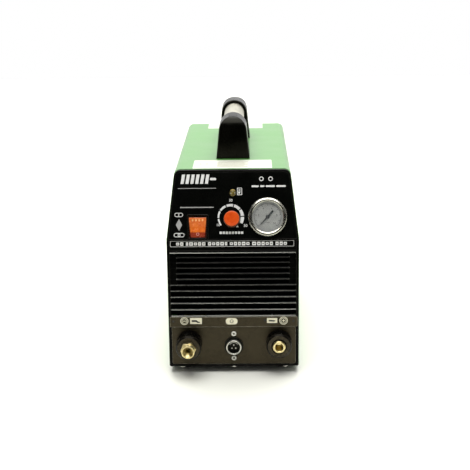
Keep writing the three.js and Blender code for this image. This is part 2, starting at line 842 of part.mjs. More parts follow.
// Barbed brass inlet for the air hose.
function airInlet() {
  const outside = BACK_FACE;
  const barbs = [0, 1, 2].map((index) => {
    const y = outside + 10 + index * 4.4;
    return turned([[0, y], [5.4, y], [4.2, y + 4.2], [0, y + 4.2]], SMALL);
  });
  return cut(
    join(
      rod(AIR_INLET.body, AIR_INLET_END, outside + 1, SMALL),
      hexagon(AIR_INLET.flats, outside, outside + 6),
      rod(4, outside + 5, outside + 22, SMALL),
      ...barbs,
    ),
    rod(AIR_INLET.bore, 0, LENGTH + 2 * PAST, SMALL),
  );
}

function regulatorBody() {
  const { half, front, depth } = REGULATOR;
  return join(
    alongY(rectangle(-half, half, -half, half, 3), front, front + depth),
    rod(REGULATOR.stem, front + depth - 1, LENGTH + 4),
  );
}

// Ribbed adjusting knob over the regulator's stem.
function regulatorKnob() {
  const from = REAR_PANEL_Y + REAR_PANEL_THICKNESS + 1;
  const to = LENGTH + REAR_REACH;
  const ribs = [];
  for (let index = 0; index < 12; index += 1) {
    ribs.push(block(13.5, 15.4, from + 4, to - 3, -1.2, 1.2).rotateY(index * Math.PI / 6));
  }
  return cut(
    join(turned([[0, from], [14.6, from], [14.6, to - 2], [13, to], [0, to]]), ...ribs),
    rod(REGULATOR.stem + 0.4, 0, LENGTH + 5),
  );
}

function earthStud() {
  return join(
    rod(EARTH.body, REAR_PANEL_Y - 11, BACK_FACE + 14, SMALL),
    hexagon(EARTH.flats, BACK_FACE, BACK_FACE + 4.5),
    hexagon(EARTH.flats, REAR_PANEL_Y - 7, REAR_PANEL_Y - GAP),
  );
}

// ---- Inside ----

// Aluminium plate with fins along the unit; the two outer fins reach down to the tray as legs.
function heatsink() {
  const { half, front, back, pitch, fins } = HEATSINK;
  const top = BOARD.z - GAP;
  const plates = [];
  for (let index = 0; index < fins; index += 1) {
    const x = (index - (fins - 1) / 2) * pitch;
    const bottom = index % (fins - 1) === 0 ? BASE_Z + SHEET + GAP : 66;
    plates.push(block(x - 1, x + 1, front, back, bottom, top - 4));
  }
  return join(block(-half, half, front, back, top - 6, top), ...plates);
}

function mainBoard() {
  const { left, right, front, back, z, thickness } = BOARD;
  return block(left, right, front, back, z, z + thickness);
}

function transformerCore() {
  const bottom = BOARD.z + BOARD.thickness + GAP;
  const frame = block(-30, 30, 130, 160, bottom, bottom + 52);
  const windows = [-16, 16].map((x) => block(x - 7, x + 7, 100, 250, bottom + 9, bottom + 43));
  return cut(frame, ...windows);
}

// Copper winding round the core's middle leg.
function transformerWinding() {
  const bottom = BOARD.z + BOARD.thickness + GAP + 9.6;
  return cut(
    alongZ(rectangle(-22, 22, 122, 168, 6), bottom, bottom + 32.8),
    block(-9.4, 9.4, 129.5, 160.5, 0, TOP_Z),
  );
}

function outputInductor() {
  const bottom = BOARD.z + BOARD.thickness + GAP;
  return turned([[10, 0], [24, 0], [26, 3], [26, 19], [24, 22], [10, 22], [8, 19], [8, 3], [10, 0]], 20)
    .rotateX(Math.PI / 2)
    .translate(0, 202, bottom);
}

function bulkCapacitor() {
  const bottom = BOARD.z + BOARD.thickness + GAP;
  return turned([[0, 0], [17, 0], [18, 1], [18, 49], [17, 50], [0, 50]], 20)
    .rotateX(Math.PI / 2)
    .translate(0, 249, bottom);
}

// Control board behind the panel, standing on the main board.
function controlBoard() {
  return block(-58, 14, 74, 75.6, BOARD.z + BOARD.thickness + GAP, 198);
}

// Air valve: a ported body with a seat and an upright sleeve for the plunger.
function solenoidValve() {
  const { x, z, front, back } = VALVE;
  const sleeve = post(0, (front + back) / 2, 7, z + 8, z + 40);
  return cut(
    join(block(-13, 13, front, back, z - 12, z + 11), sleeve),
    rod(3, 0, LENGTH, SMALL).translate(0, 0, z),
    post(0, (front + back) / 2, 1.6, z, z + 5, SMALL),
    post(0, (front + back) / 2, 5.4, z + 3.7, z + 37.5),
  ).translate(x, 0, 0);
}

function solenoidCoil() {
  const { x, z, front, back } = VALVE;
  const middle = (front + back) / 2;
  return cut(
    alongZ(rectangle(-14, 14, middle - 14, middle + 14, 3), z + 11 + GAP, z + 37),
    post(0, middle, 7.3, 0, LENGTH),
  ).translate(x, 0, 0);
}

function solenoidPlunger() {
  const { x, z, front, back } = VALVE;
  return post(x, (front + back) / 2, 5.05, z + 4, z + 28);
}

// ---- Assembly ----

// A point behind the gauge on its stem's axis.
function behindGauge(depth) {
  const point = new THREE.Vector3(GAUGE.x, GAUGE.v, -GAUGE_DEPTH - GAUGE_STEM - depth);
  return point.applyMatrix4(panel.matrix).toArray();
}

add(unit, 'cover', cover(), PAINT, 0.45);
add(unit, 'base_tray', baseTray(), BLACK, 0.6, 0.3);
add(unit, 'front_bezel', frontBezel(), BLACK, 0.35);
add(panel, 'control_overlay', controlOverlay(), BLACK, 0.25);
add(unit, 'symbol_strip', symbolStrip(), BLACK, 0.4);
add(unit, 'connector_plate', connectorPlate(), 0x2e2a20, 0.45);

add(unit, 'torch_boss', placed(boss(TORCH_BOSS_LENGTH, TORCH_STEM_RADIUS + GAP), TORCH), BLACK, 0.4);
add(unit, 'torch_connector', placed(torchConnector(), TORCH), BRASS, 0.3, 0.9);
add(unit, 'output_boss', placed(boss(OUTPUT_BOSS_LENGTH, OUTPUT_RADIUS + GAP), OUTPUT), BLACK, 0.4);
add(unit, 'output_socket', placed(outputSocket(), OUTPUT), BRASS, 0.3, 0.9);
add(unit, 'control_socket_shell', placed(controlShell(), CONTROL), STEEL, 0.25, 0.9);
add(unit, 'control_socket_insert', placed(controlInsert(), CONTROL), BLACK, 0.5);
rivetPlaces().forEach((place, index) => {
  const name = ['socket_rivet_upper', 'socket_rivet_lower'][index];
  add(unit, name, placed(rivet(), place), STEEL, 0.3, 0.9);
});

add(panel, 'rocker_housing', rockerHousing().translate(ROCKER.x, ROCKER.v, 0), BLACK, 0.35);
add(panel, 'power_rocker', rocker().translate(ROCKER.x, ROCKER.v, 0), ORANGE, 0.3);
add(panel, 'knob_body', standing(knobBody(), KNOB), BLACK, 0.45);
add(panel, 'knob_cap', standing(knobCap(), KNOB), ORANGE, 0.4);
add(panel, 'potentiometer', standing(potentiometer(), KNOB), STEEL, 0.4, 0.8);
add(panel, 'potentiometer_shaft', standing(rod(SHAFT_RADIUS, -7, 9.6, SMALL), KNOB), STEEL, 0.3, 0.9);
add(panel, 'led_bezel', standing(ledBezel(), LED), BRASS, 0.3, 0.9);
add(panel, 'led_lens', standing(ledLens(), LED), 0xcaa53a, 0.2);
add(panel, 'gauge_case', standing(gaugeCase(), GAUGE), BLACK, 0.5);
add(panel, 'gauge_ring', standing(gaugeRing(), GAUGE), STEEL, 0.15, 1);
add(panel, 'gauge_dial', standing(gaugeDial(), GAUGE), 0xd8d8d4, 0.5);
add(panel, 'gauge_needle', gaugeNeedle().translate(GAUGE.x, GAUGE.v, 0), BLACK, 0.4);
add(panel, 'gauge_lens', standing(gaugeLens(), GAUGE), 0xeef2f2, 0.05);

const FRONT_POST_BACK = FRONT_POST_Y + POST_DEPTH;
const FRONT_SOCKET = { from: FRONT_POST_BACK - TUBE_GRIP, to: FRONT_POST_BACK + PAST };
const REAR_SOCKET = { from: REAR_POST_Y - PAST, to: REAR_POST_Y + TUBE_GRIP };
add(unit, 'handle_post_front', handlePost(FRONT_POST_Y, FRONT_SOCKET), BLACK, 0.4);
add(unit, 'handle_post_rear', handlePost(REAR_POST_Y, REAR_SOCKET), BLACK, 0.4);
add(unit, 'handle_tube', handleTube(), CREAM, 0.35, 0.6);
for (const [side, x] of [['left', -FOOT.x], ['right', FOOT.x]]) {
  for (const end of ['front', 'rear']) {
    add(unit, `foot_${end}_${side}`, foot().translate(x, FOOT[end], 0), RUBBER, 0.9);
  }
}
['left', 'middle', 'right'].forEach((name, index) => {
  const screw = undersideScrew().translate(SCREW_XS[index], SCREW_Y, 0);
  add(unit, `underside_screw_${name}`, screw, STEEL, 0.35, 0.9);
});

add(unit, 'rear_panel', rearPanel(), BLACK, 0.5, 0.3);
add(unit, 'fan_guard', fanGuard(), STEEL, 0.3, 0.9);
add(unit, 'fan_frame', fanFrame(), BLACK, 0.5);
add(unit, 'fan_rotor', fanRotor(), BLACK, 0.5);
add(unit, 'cable_gland', placed(cableGland(), GLAND), BLACK, 0.5);
add(unit, 'air_inlet', placed(airInlet(), AIR_INLET), BRASS, 0.3, 0.9);
add(unit, 'regulator_body', placed(regulatorBody(), REGULATOR), STEEL, 0.4, 0.8);
add(unit, 'regulator_knob', placed(regulatorKnob(), REGULATOR), BLACK, 0.5);
add(unit, 'earth_stud', placed(earthStud(), EARTH), BRASS, 0.35, 0.9);

add(unit, 'heatsink', heatsink(), STEEL, 0.4, 0.9);
add(unit, 'main_board', mainBoard(), 0x1f6b3a, 0.5);
add(unit, 'control_board', controlBoard(), 0x1f6b3a, 0.5);
add(unit, 'transformer_core', transformerCore(), 0x3a3a3c, 0.7);
add(unit, 'transformer_winding', transformerWinding(), COPPER, 0.4, 0.6);
add(unit, 'output_inductor', outputInductor(), COPPER, 0.4, 0.6);
add(unit, 'bulk_capacitor', bulkCapacitor(), 0x20303c, 0.4);
add(unit, 'solenoid_valve', solenoidValve(), BRASS, 0.35, 0.9);
add(unit, 'solenoid_coil', solenoidCoil(), BLACK, 0.5);
add(unit, 'solenoid_plunger', solenoidPlunger(), STEEL, 0.4, 0.9);

// Air line: inlet to regulator, regulator to valve, valve to torch connector, and a gauge line.
add(unit, 'supply_hose', hose([
  [AIR_INLET.x, AIR_INLET_END - GAP, AIR_INLET.z],
  [AIR_INLET.x, 325, AIR_INLET.z],
  [AIR_INLET.x, 298, AIR_INLET.z],
  [41.5, 280.3, 47.3],
  [41, 273, 65],
  [40.5, 280.3, 82.7],
  [REGULATOR.x, 298, REGULATOR.z],
  [REGULATOR.x, REGULATOR.front - GAP, REGULATOR.z],
], 3, 18), 0x2a5fa8, 0.4);
add(unit, 'valve_hose', hose([
  [REGULATOR.x - REGULATOR.half - GAP, 328, 80],
  [10, 328, 80],
  [-6, 322, 68],
  [-14, 302, 42],
  [-14, 270, 22],
  [-14, 205, 20],
  [-30, 172, 24],
  [-48, 149, 32],
  [VALVE.x, 139, VALVE.z],
  [VALVE.x, VALVE.back + GAP, VALVE.z],
], 3, 18), 0x2a5fa8, 0.4);
add(unit, 'torch_hose', hose([
  [VALVE.x, VALVE.front - GAP, VALVE.z],
  [VALVE.x, 70, VALVE.z + 1],
  [TORCH.x, 40, TORCH.z - 1],
  [TORCH.x, 20 + GAP, TORCH.z],
], 3, 10), 0x2a5fa8, 0.4);
add(unit, 'gauge_line', hose([
  behindGauge(2 * GAP),
  behindGauge(9),
  [56, 75, 150],
  [65, 110, 120],
  [66, 200, 108],
  [64, 265, 105],
  [54, 290, 101],
  [52, 300, 100],
  [52, REGULATOR.front - GAP, 100],
], 2, 22), 0x222222, 0.4);

export default unit;
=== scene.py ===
"""Looks of a plasma cutter unit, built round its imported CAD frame.

Shapes are drawn in millimetres: x to the right, y back from the front face and z up, or on the
slanted panel x across, v up the slant and a height above it. Each shape is moved into the row
frame in metres when it is made.
"""

import math

import bmesh
import bpy
from mathutils import Matrix, Vector
from mathutils.geometry import tessellate_polygon


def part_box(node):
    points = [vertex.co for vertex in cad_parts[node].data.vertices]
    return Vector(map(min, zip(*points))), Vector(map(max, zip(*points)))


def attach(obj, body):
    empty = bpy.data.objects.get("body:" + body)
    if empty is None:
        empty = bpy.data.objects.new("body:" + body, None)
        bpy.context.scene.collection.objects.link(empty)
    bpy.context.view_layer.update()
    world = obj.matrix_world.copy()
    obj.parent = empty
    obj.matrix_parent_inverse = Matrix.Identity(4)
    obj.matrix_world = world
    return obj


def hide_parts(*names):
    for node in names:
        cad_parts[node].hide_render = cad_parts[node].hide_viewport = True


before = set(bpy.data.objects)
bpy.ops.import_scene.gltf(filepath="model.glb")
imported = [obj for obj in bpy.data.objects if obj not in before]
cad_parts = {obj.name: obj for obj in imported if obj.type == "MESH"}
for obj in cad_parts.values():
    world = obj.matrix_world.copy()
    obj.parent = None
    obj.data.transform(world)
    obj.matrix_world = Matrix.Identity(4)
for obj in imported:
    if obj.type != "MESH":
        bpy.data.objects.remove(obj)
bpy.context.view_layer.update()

MM = 0.001
INK = 0.05
SCENE = bpy.context.scene

# Camera: place in metres, angles in degrees.
CAMERA_PLACE = (0.02251, -1.42134, 0.49764)
CAMERA_PITCH = 14.7873
CAMERA_YAW = 0.90565
CAMERA_ROLL = -0.64634
CAMERA_LENS = 86.43
CAMERA_SENSOR = 36.0

# Housing, as in the CAD source.
FRONT_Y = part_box("front_bezel")[0].y / MM
HALF_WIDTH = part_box("cover")[1].x / MM
TOP_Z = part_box("cover")[1].z / MM
BASE_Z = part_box("cover")[0].z / MM
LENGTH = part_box("cover")[1].y / MM - FRONT_Y
SHOULDER_Z = 161.5
TOP_HALF_WIDTH = 67.0
TOP_RADIUS = 8.0
SHOULDER_RADIUS = 3.0
SHEET = 1.2
COVER_FRONT = 5.0
LIP_INSET = 0.5
LIP_DEPTH = 4.7
SKIRT_INSET = 1.6
SKIRT_DEPTH = 16.0
SKIRT_BOTTOM = BASE_Z + 1.6
BEZEL_WALL = 2.4
PANEL_TILT = math.atan2(25.3, 77.9)
LEAN = math.atan2(HALF_WIDTH - TOP_HALF_WIDTH, TOP_Z - SHOULDER_Z)

# Front: louvres, symbol strip and connector plate.
LOUVRE_TOP = 147.4
LOUVRE_BOTTOM = 69.7
LOUVRE_HALF_WIDTH = 72.6
SLAT_COUNT = 10
SHORT_SLATS = 5
SHORT_SLAT_HALF = 65.0
CHEEKS = ((-LOUVRE_HALF_WIDTH, -SHORT_SLAT_HALF), (SHORT_SLAT_HALF, LOUVRE_HALF_WIDTH))
NOSE_FACE = -0.5
NOSE_BLOCKS = (3.6, 3.6, 2.6, 4.4, 3.6, 3.6, 3.8, 3.6, 3.6, 3.6, 4.2, 2.6, 3.6, 3.6, 3.2, 4.2, 3.6,
               4.6, 4.0, 3.6, 3.6, 3.6, 3.6, 3.6, 3.6)
STRIP_BOTTOM = 57.2
STRIP_FACE = 0.6
PLATE_HALF_WIDTH = 73.0
PLATE_BOTTOM = 10.8
PLATE_TOP = 56.6
PLATE_FRONT = 0.8
PLATE_BACK = 3.2
TORCH = (-52.2, 38.0)
OUTPUT = (52.75, 38.0)
CONTROL = (0.0, 33.3)
RIVET_OFFSET = 15.0
BOSS_RADIUS = 15.0

# Slanted panel: x across and v up the slant.
OVERLAY_HALF_BOTTOM = 73.4
OVERLAY_HALF_TOP = 64.4
OVERLAY_FOOT = 2.2
OVERLAY_HEAD = 78.5
ROCKER = (-39.9, 15.4)
ROCKER_TILT = math.radians(12)
KNOB = (-0.7, 24.4)
LAMP = (0.45, 55.0)
GAUGE = (40.3, 26.8)
DIAL_FACE = 2.3
DIAL_START = 225.0
DIAL_SWEEP = 270.0
NEEDLE_ANGLE = math.radians(227.6)

# Sides and underside.
SLOT_MIDDLES = (95.0, 270.0)
SLOT_HALF = 32.0
SLOT_ROWS = 7
SLOT_PITCH = 12.0
SLOT_BOTTOM = 50.0
COVER_SCREW_YS = (30.0, 326.0)
COVER_SCREW_ZS = (24.0, 142.0)
FOOT_X = 58.0
FOOT_YS = (26.0, 330.0)
UNDERSIDE_SCREW_X = 60.5
UNDERSIDE_SCREW_Y = 6.0

# Handle on the top sheet.
HANDLE_Z = 273.3
POST_BASE_HALF = 20.2
POST_TOP_RADIUS = 16.75
POST_DEPTH = 41.5
POST_FRONTS = (89.5, 234.5)
TUBE_RADIUS = 12.75
TUBE_WALL = 1.5
SOCKET_DEPTH = 22.0

# Back.
REAR_PANEL_Y = 351.0
BACK_FACE = 352.5
FAN_Z = 165.0
FAN_FRONT = 324.0
FAN_BACK = 349.0
FAN_FLANGE = 4.0
FAN_BORE = 43.5
DIAGONALS = [math.radians(45 + 90 * turn) for turn in range(4)]
GLAND = (-42.0, 40.0)
AIR_INLET = (42.0, 40.0)
REGULATOR = (40.0, 90.0)
REGULATOR_FACE = 379.9
EARTH = (0.0, 30.0)

# ---- Placing ----

RIGHT = Vector((1, 0, 0))
BACKWARD = Vector((0, 1, 0))
UP = Vector((0, 0, 1))
PANEL_UP = Vector((0, math.sin(PANEL_TILT), math.cos(PANEL_TILT)))
PANEL_OUT = Vector((0, -math.cos(PANEL_TILT), math.sin(PANEL_TILT)))


def axes(origin, across, up, out):
    """Matrix for a shape drawn in x, y and height, with its origin in millimetres."""
    turn = Matrix((across, up, out)).transposed().to_4x4()
    return Matrix.Scale(MM, 4) @ Matrix.Translation(origin) @ turn


def on_front(x=0.0, z=0.0):
    """Heights go out of the front face."""
    return axes((x, FRONT_Y, z), RIGHT, UP, -BACKWARD)


def on_back(x=0.0, z=0.0):
    """Heights are distances back from the front face."""
    return axes((x, FRONT_Y, z), -RIGHT, UP, BACKWARD)


def on_panel(x=0.0, v=0.0):
    return axes(Vector((x, FRONT_Y, SHOULDER_Z)) + v * PANEL_UP, RIGHT, PANEL_UP, PANEL_OUT)


def on_top(x=0.0, y=0.0, z=0.0):
    return axes((x, FRONT_Y + y, z), RIGHT, BACKWARD, UP)


def across_unit():
    """The section is drawn in y and z, and heights go to the right."""
    return axes((0, FRONT_Y, 0), BACKWARD, UP, RIGHT)


# ---- Outlines ----


def fillet(corners, steps=6, closed=True):
    """Points (x, y, bend) along corners (x, y, radius). Bend peaks in the middle of a rounding."""
    points = []
    last = len(corners) - 1
    for index, corner in enumerate(corners):
        radius = corner[2] if len(corner) > 2 else 0.0
        if radius == 0.0 or (not closed and index in (0, last)):
            points.append((corner[0], corner[1], 0.0))
            continue
        here = Vector(corner[:2])
        back = (Vector(corners[index - 1][:2]) - here).normalized()
        ahead = (Vector(corners[(index + 1) % len(corners)][:2]) - here).normalized()
        half = math.acos(max(-1.0, min(1.0, back.dot(ahead)))) / 2
        centre = here + (back + ahead).normalized() * radius / math.sin(half)
        spoke = here + back * radius / math.tan(half) - centre
        sweep = math.pi - 2 * half
        if back.x * ahead.y - back.y * ahead.x > 0:
            sweep = -sweep
        # Weight of a rounding's edge mark, stronger on small radii; the mark carries wear and painted
        # highlights.
        edge_weight = min(1.0, 0.5 / radius)
        for step in range(steps + 1):
            share = step / steps
            at = centre + Matrix.Rotation(sweep * share, 2) @ spoke
            points.append((at.x, at.y, edge_weight * math.sin(math.pi * share)))
    return points


def rectangle(left, right, bottom, top, radius=0.0, steps=6):
    corners = [(left, bottom), (right, bottom), (right, top), (left, top)]
    return fillet([(*corner, radius) for corner in corners], steps)


def circle(radius, x=0.0, y=0.0, count=64):
    turn = 2 * math.pi / count
    return [(x + radius * math.cos(i * turn), y + radius * math.sin(i * turn), 0.0)
            for i in range(count)]


def polygon(radius, sides, turn=0.0, rounding=0.3):
    corners = []
    for index in range(sides):
        angle = turn + 2 * math.pi * index / sides
        corners.append((radius * math.cos(angle), radius * math.sin(angle), rounding))
    return fillet(corners, 3)


def arc_band(inner, outer, start, end, x=0.0, y=0.0, steps=16):
    """A band between two radii; angles in degrees, anticlockwise from +x. Radii may be pairs."""
    inner = inner if isinstance(inner, tuple) else (inner, inner)
    outer = outer if isinstance(outer, tuple) else (outer, outer)
    points = []
    for radii, order in ((outer, range(steps + 1)), (inner, range(steps, -1, -1))):
        for step in order:
            share = step / steps
            angle = math.radians(start + (end - start) * share)
            radius = radii[0] + (radii[1] - radii[0]) * share
            points.append((x + radius * math.cos(angle), y + radius * math.sin(angle), 0.0))
    return points


def housing_outline(inset, bottom, steps=10):
    """The housing's section seen from the front, moved inwards by inset, standing on bottom."""
    half = HALF_WIDTH - inset
    shoulder = SHOULDER_Z - inset * math.tan(LEAN / 2)
    top = TOP_Z - inset
    top_half = half - (top - shoulder) * math.tan(LEAN)
    return fillet([
        (-half, bottom),
        (half, bottom),
        (half, shoulder, SHOULDER_RADIUS),
        (top_half, top, TOP_RADIUS - inset),
        (-top_half, top, TOP_RADIUS - inset),
        (-half, shoulder, SHOULDER_RADIUS),
    ], steps)


# ---- Shapes ----


def new_shape():
    shape = bmesh.new()
    shape.verts.layers.float.new("edge")
    return shape


def vertex(shape, at, place, bend=0.0):
    made = shape.verts.new(at @ Vector(place))
    made[shape.verts.layers.float["edge"]] = bend
    return made


def area(points):
    total = 0.0
    for index, point in enumerate(points):
        total += points[index - 1][0] * point[1] - point[0] * points[index - 1][1]
    return total / 2


def inset_points(points, distance):
    """The contour moved to its left by distance, with mitred corners."""
    moved = []
    count = len(points)
    for index, point in enumerate(points):
        here = Vector(point[:2])
        before = (here - Vector(points[index - 1][:2])).normalized()
        after = (Vector(points[(index + 1) % count][:2]) - here).normalized()
        first = Vector((-before.y, before.x))
        second = Vector((-after.y, after.x))
        moved.append(here + (first + second) * distance / max(0.3, 1 + first.dot(second)))
    return moved


def rim_rings(low, high, edge, steps):
    """(inset, height, bend) of each ring round a plate's rim, from its low face to its high one."""
    if edge == 0:
        return [(0.0, low, 0.0), (0.0, high, 0.0)]
    rings = []
    for step in range(steps + 1):
        angle = step / steps * math.pi / 2
        bend = math.sin(2 * angle)
        rings.append((edge * (1 - math.sin(angle)), low + edge * (1 - math.cos(angle)), bend))
    for step in range(steps + 1):
        angle = step / steps * math.pi / 2
        bend = math.sin(2 * angle)
        rings.append((edge * (1 - math.cos(angle)), high - edge * (1 - math.sin(angle)), bend))
    return rings


def add_plate(shape, contours, low, high, at, edge=0.3, steps=3, warp=None):
    """A plate between two heights with a rounded rim. The contours after the first are holes."""
    faces = ([], [])
    for order, contour in enumerate(contours):
        anticlockwise = area(contour) > 0
        points = contour if anticlockwise == (order == 0) else contour[::-1]
        rings = []
        for inset, height, bend in rim_rings(low, high, edge, steps):
            flat = inset > 0.999 * edge
            ring = []
            for place, point in zip(inset_points(points, inset), points):
                spot = Vector((place.x, place.y, height))
                weight = 0.0 if flat else max(bend, point[2])
                ring.append(vertex(shape, at, warp(spot) if warp else spot, weight))
            rings.append(ring)
        for lower, upper in zip(rings, rings[1:]):
            join_rings(shape, lower, upper, len(points))
        for side, ring in zip(faces, (rings[0], rings[-1])):
            side.append((ring, inset_points(points, edge)))
    for side in faces:
        close_face(shape, side)


def add_print(shape, at, low, *contours):
    """A flat printed mark on a surface at height low. The contours after the first are holes."""
    add_plate(shape, contours, low, low + INK, at, edge=0)


def close_face(shape, side):
    """Fills a flat face bounded by rings of vertices, the first outside and the others holes."""
    vertices = [made for ring, _ in side for made in ring]
    if len(side) == 1:
        shape.faces.new(vertices)
        return
    flat = [[Vector((point.x, point.y, 0)) for point in points] for _, points in side]
    for triangle in tessellate_polygon(flat):
        shape.faces.new([vertices[index] for index in triangle])


def add_lathe(shape, profile, at, segments=96, closed=False, wave=None):
    """A turned piece. The profile holds (radius, height, bend); wave changes a point's radius."""
    rings = []
    for radius, height, *bend in profile:
        weight = bend[0] if bend else 0.0
        if radius < 1e-6:
            rings.append([vertex(shape, at, (0, 0, height), weight)])
            continue
        ring = []
        for index in range(segments):
            angle = 2 * math.pi * index / segments
            reach = wave(angle, radius, height) if wave else radius
            spot = (reach * math.cos(angle), reach * math.sin(angle), height)
            ring.append(vertex(shape, at, spot, weight))
        rings.append(ring)
    pairs = list(zip(rings, rings[1:]))
    if closed:
        pairs.append((rings[-1], rings[0]))
    for lower, upper in pairs:
        join_rings(shape, lower, upper, segments)


def add_turned(shape, corners, at, segments=96, steps=4, closed=False, wave=None):
    """A turned piece from its profile's corners (radius, height, rounding)."""
    add_lathe(shape, fillet(corners, steps, closed), at, segments, closed, wave)


def add_tube(shape, inner, outer, low, high, at, segments=96):
    """A plain sleeve between two heights, or a solid pin where inner is 0."""
    profile = [(inner, low), (outer, low), (outer, high), (inner, high)]
    add_lathe(shape, profile, at, segments, closed=inner > 0)


def join_rings(shape, lower, upper, segments):
    """Faces between two rings of vertices. A ring of one vertex is a point on the axis."""
    for index in range(segments):
        following = (index + 1) % segments
        if len(lower) == 1 and len(upper) == 1:
            return
        if len(lower) == 1:
            shape.faces.new((lower[0], upper[following], upper[index]))
        elif len(upper) == 1:
            shape.faces.new((lower[index], lower[following], upper[0]))
        else:
            shape.faces.new((lower[index], lower[following], upper[following], upper[index]))


def add_rod(shape, start, end, radius, at, segments=24, rounding=0.3):
    """A round bar between two points, with rounded ends."""
    start, end = Vector(start), Vector(end)
    turn = (end - start).to_track_quat("Z", "Y").to_matrix().to_4x4()
    profile = fillet([(0, 0), (radius, 0, rounding), (radius, (end - start).length, rounding),
                      (0, (end - start).length)], 3, closed=False)
    add_lathe(shape, profile, at @ Matrix.Translation(start) @ turn, segments)


def add_torus(shape, major, minor, height, at, segments=96):
    profile = [(major + minor * math.cos(step * math.pi / 6),
                height + minor * math.sin(step * math.pi / 6)) for step in range(12)]
    add_lathe(shape, profile, at, segments, closed=True)


def subtract(solid, tool):
    """The first shape less the second."""
    made = []
    for name, shape in (("solid", solid), ("tool", tool)):
        bmesh.ops.recalc_face_normals(shape, faces=shape.faces)
        mesh = bpy.data.meshes.new(name)
        shape.to_mesh(mesh)
        shape.free()
        obj = bpy.data.objects.new(name, mesh)
        SCENE.collection.objects.link(obj)
        made.append(obj)
    cutter = made[0].modifiers.new("cut", "BOOLEAN")
    cutter.operation = "DIFFERENCE"
    cutter.solver = "EXACT"
    cutter.object = made[1]
    depsgraph = bpy.context.evaluated_depsgraph_get()
    mesh = bpy.data.meshes.new_from_object(made[0].evaluated_get(depsgraph))
    for obj in made:
        bpy.data.objects.remove(obj)
    result = bmesh.new()
    result.from_mesh(mesh)
    bmesh.ops.dissolve_degenerate(result, dist=0.001 * MM, edges=result.edges)
    return result


def piece(name, look, shape, replaces=(), body="housing", bevel=0.0, sharp=38.0):
    """Makes a shape into an object that rides on a body."""
    bmesh.ops.recalc_face_normals(shape, faces=shape.faces)
    mesh = bpy.data.meshes.new(name)
    shape.to_mesh(mesh)
    shape.free()
    mesh.shade_smooth()
    mesh.set_sharp_from_angle(angle=math.radians(sharp))
    mesh.materials.append(look)
    obj = bpy.data.objects.new(name, mesh)
    SCENE.collection.objects.link(obj)
    if bevel > 0:
        rounding = obj.modifiers.new("rounding", "BEVEL")
        rounding.width = bevel * MM
        rounding.segments = 2
        rounding.limit_method = "ANGLE"
        rounding.angle_limit = math.radians(40)
    normals = obj.modifiers.new("normals", "WEIGHTED_NORMAL")
    normals.keep_sharp = True
    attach(obj, body)
    if replaces:
        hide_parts(*replaces)
    return obj


def text_outline(shape, words, size, x, y, low, high, at, weight=0.0):
    """Adds figures drawn in Blender's own font, centred on x and y."""
    curve = bpy.data.curves.new("figures", "FONT")
    curve.body = words
    curve.size = size
    curve.align_x = "CENTER"
    curve.align_y = "CENTER"
    curve.offset = weight
    curve.extrude = (high - low) / 2
    curve.resolution_u = 4
    obj = bpy.data.objects.new("figures", curve)
    SCENE.collection.objects.link(obj)
    depsgraph = bpy.context.evaluated_depsgraph_get()
    mesh = bpy.data.meshes.new_from_object(obj.evaluated_get(depsgraph))
    mesh.transform(at @ Matrix.Translation((x, y, (low + high) / 2)))
    shape.from_mesh(mesh)
    bpy.data.objects.remove(obj)


# ---- Materials ----


class Nodes:
    """Makes the nodes of one tree. A value is a number, a colour or another node's socket."""

    def __init__(self, tree):
        self.tree = tree

    def set(self, node, values):
        for name, value in values.items():
            socket = node.inputs[name]
            if isinstance(value, bpy.types.NodeSocket):
                self.tree.links.new(value, socket)
            else:
                socket.default_value = value

    def add(self, kind, values=None, **properties):
        node = self.tree.nodes.new(kind)
        for name, value in properties.items():
            setattr(node, name, value)
        self.set(node, values or {})
        return node


class Look(Nodes):
    """A node material round one principled shader."""

    def __init__(self, name, values):
        self.material = bpy.data.materials.new(name)
        self.material.use_nodes = True
        super().__init__(self.material.node_tree)
        self.shader = self.tree.nodes["Principled BSDF"]
        self.place = self.add("ShaderNodeTexCoord").outputs["Object"]
        self.set(self.shader, values)

    def noise(self, size, detail=3.0, stretch=(1, 1, 1)):
        """Noise with features of about size millimetres."""
        mapping = self.add("ShaderNodeMapping", {"Vector": self.place, "Scale": stretch})
        made = self.add("ShaderNodeTexNoise", {
            "Vector": mapping.outputs["Vector"],
            "Scale": 1.0 / (size * MM),
            "Detail": detail,
        })
        return made.outputs["Fac"]

    def spread(self, factor, low, high, start=0.3, end=0.7):
        """A factor's range from start to end, stretched to run from low to high."""
        made = self.add("ShaderNodeMapRange", {
            "Value": factor, "From Min": start, "From Max": end, "To Min": low, "To Max": high,
        })
        return made.outputs["Result"]

    def maths(self, operation, first, second):
        return self.add("ShaderNodeMath", {0: first, 1: second}, operation=operation).outputs[0]

    def blend(self, factor, first, second):
        values = {0: factor, 6: first, 7: second}
        return self.add("ShaderNodeMix", values, data_type="RGBA").outputs[2]

    def bump(self, height, distance, normal=None):
        values = {"Height": height, "Distance": distance * MM, "Strength": 1.0}
        if normal is not None:
            values["Normal"] = normal
        return self.add("ShaderNodeBump", values).outputs["Normal"]

    def edge(self):
        """1 on rounded rims and corners, as each shape stores it."""
        return self.add("ShaderNodeAttribute", attribute_name="edge").outputs["Fac"]


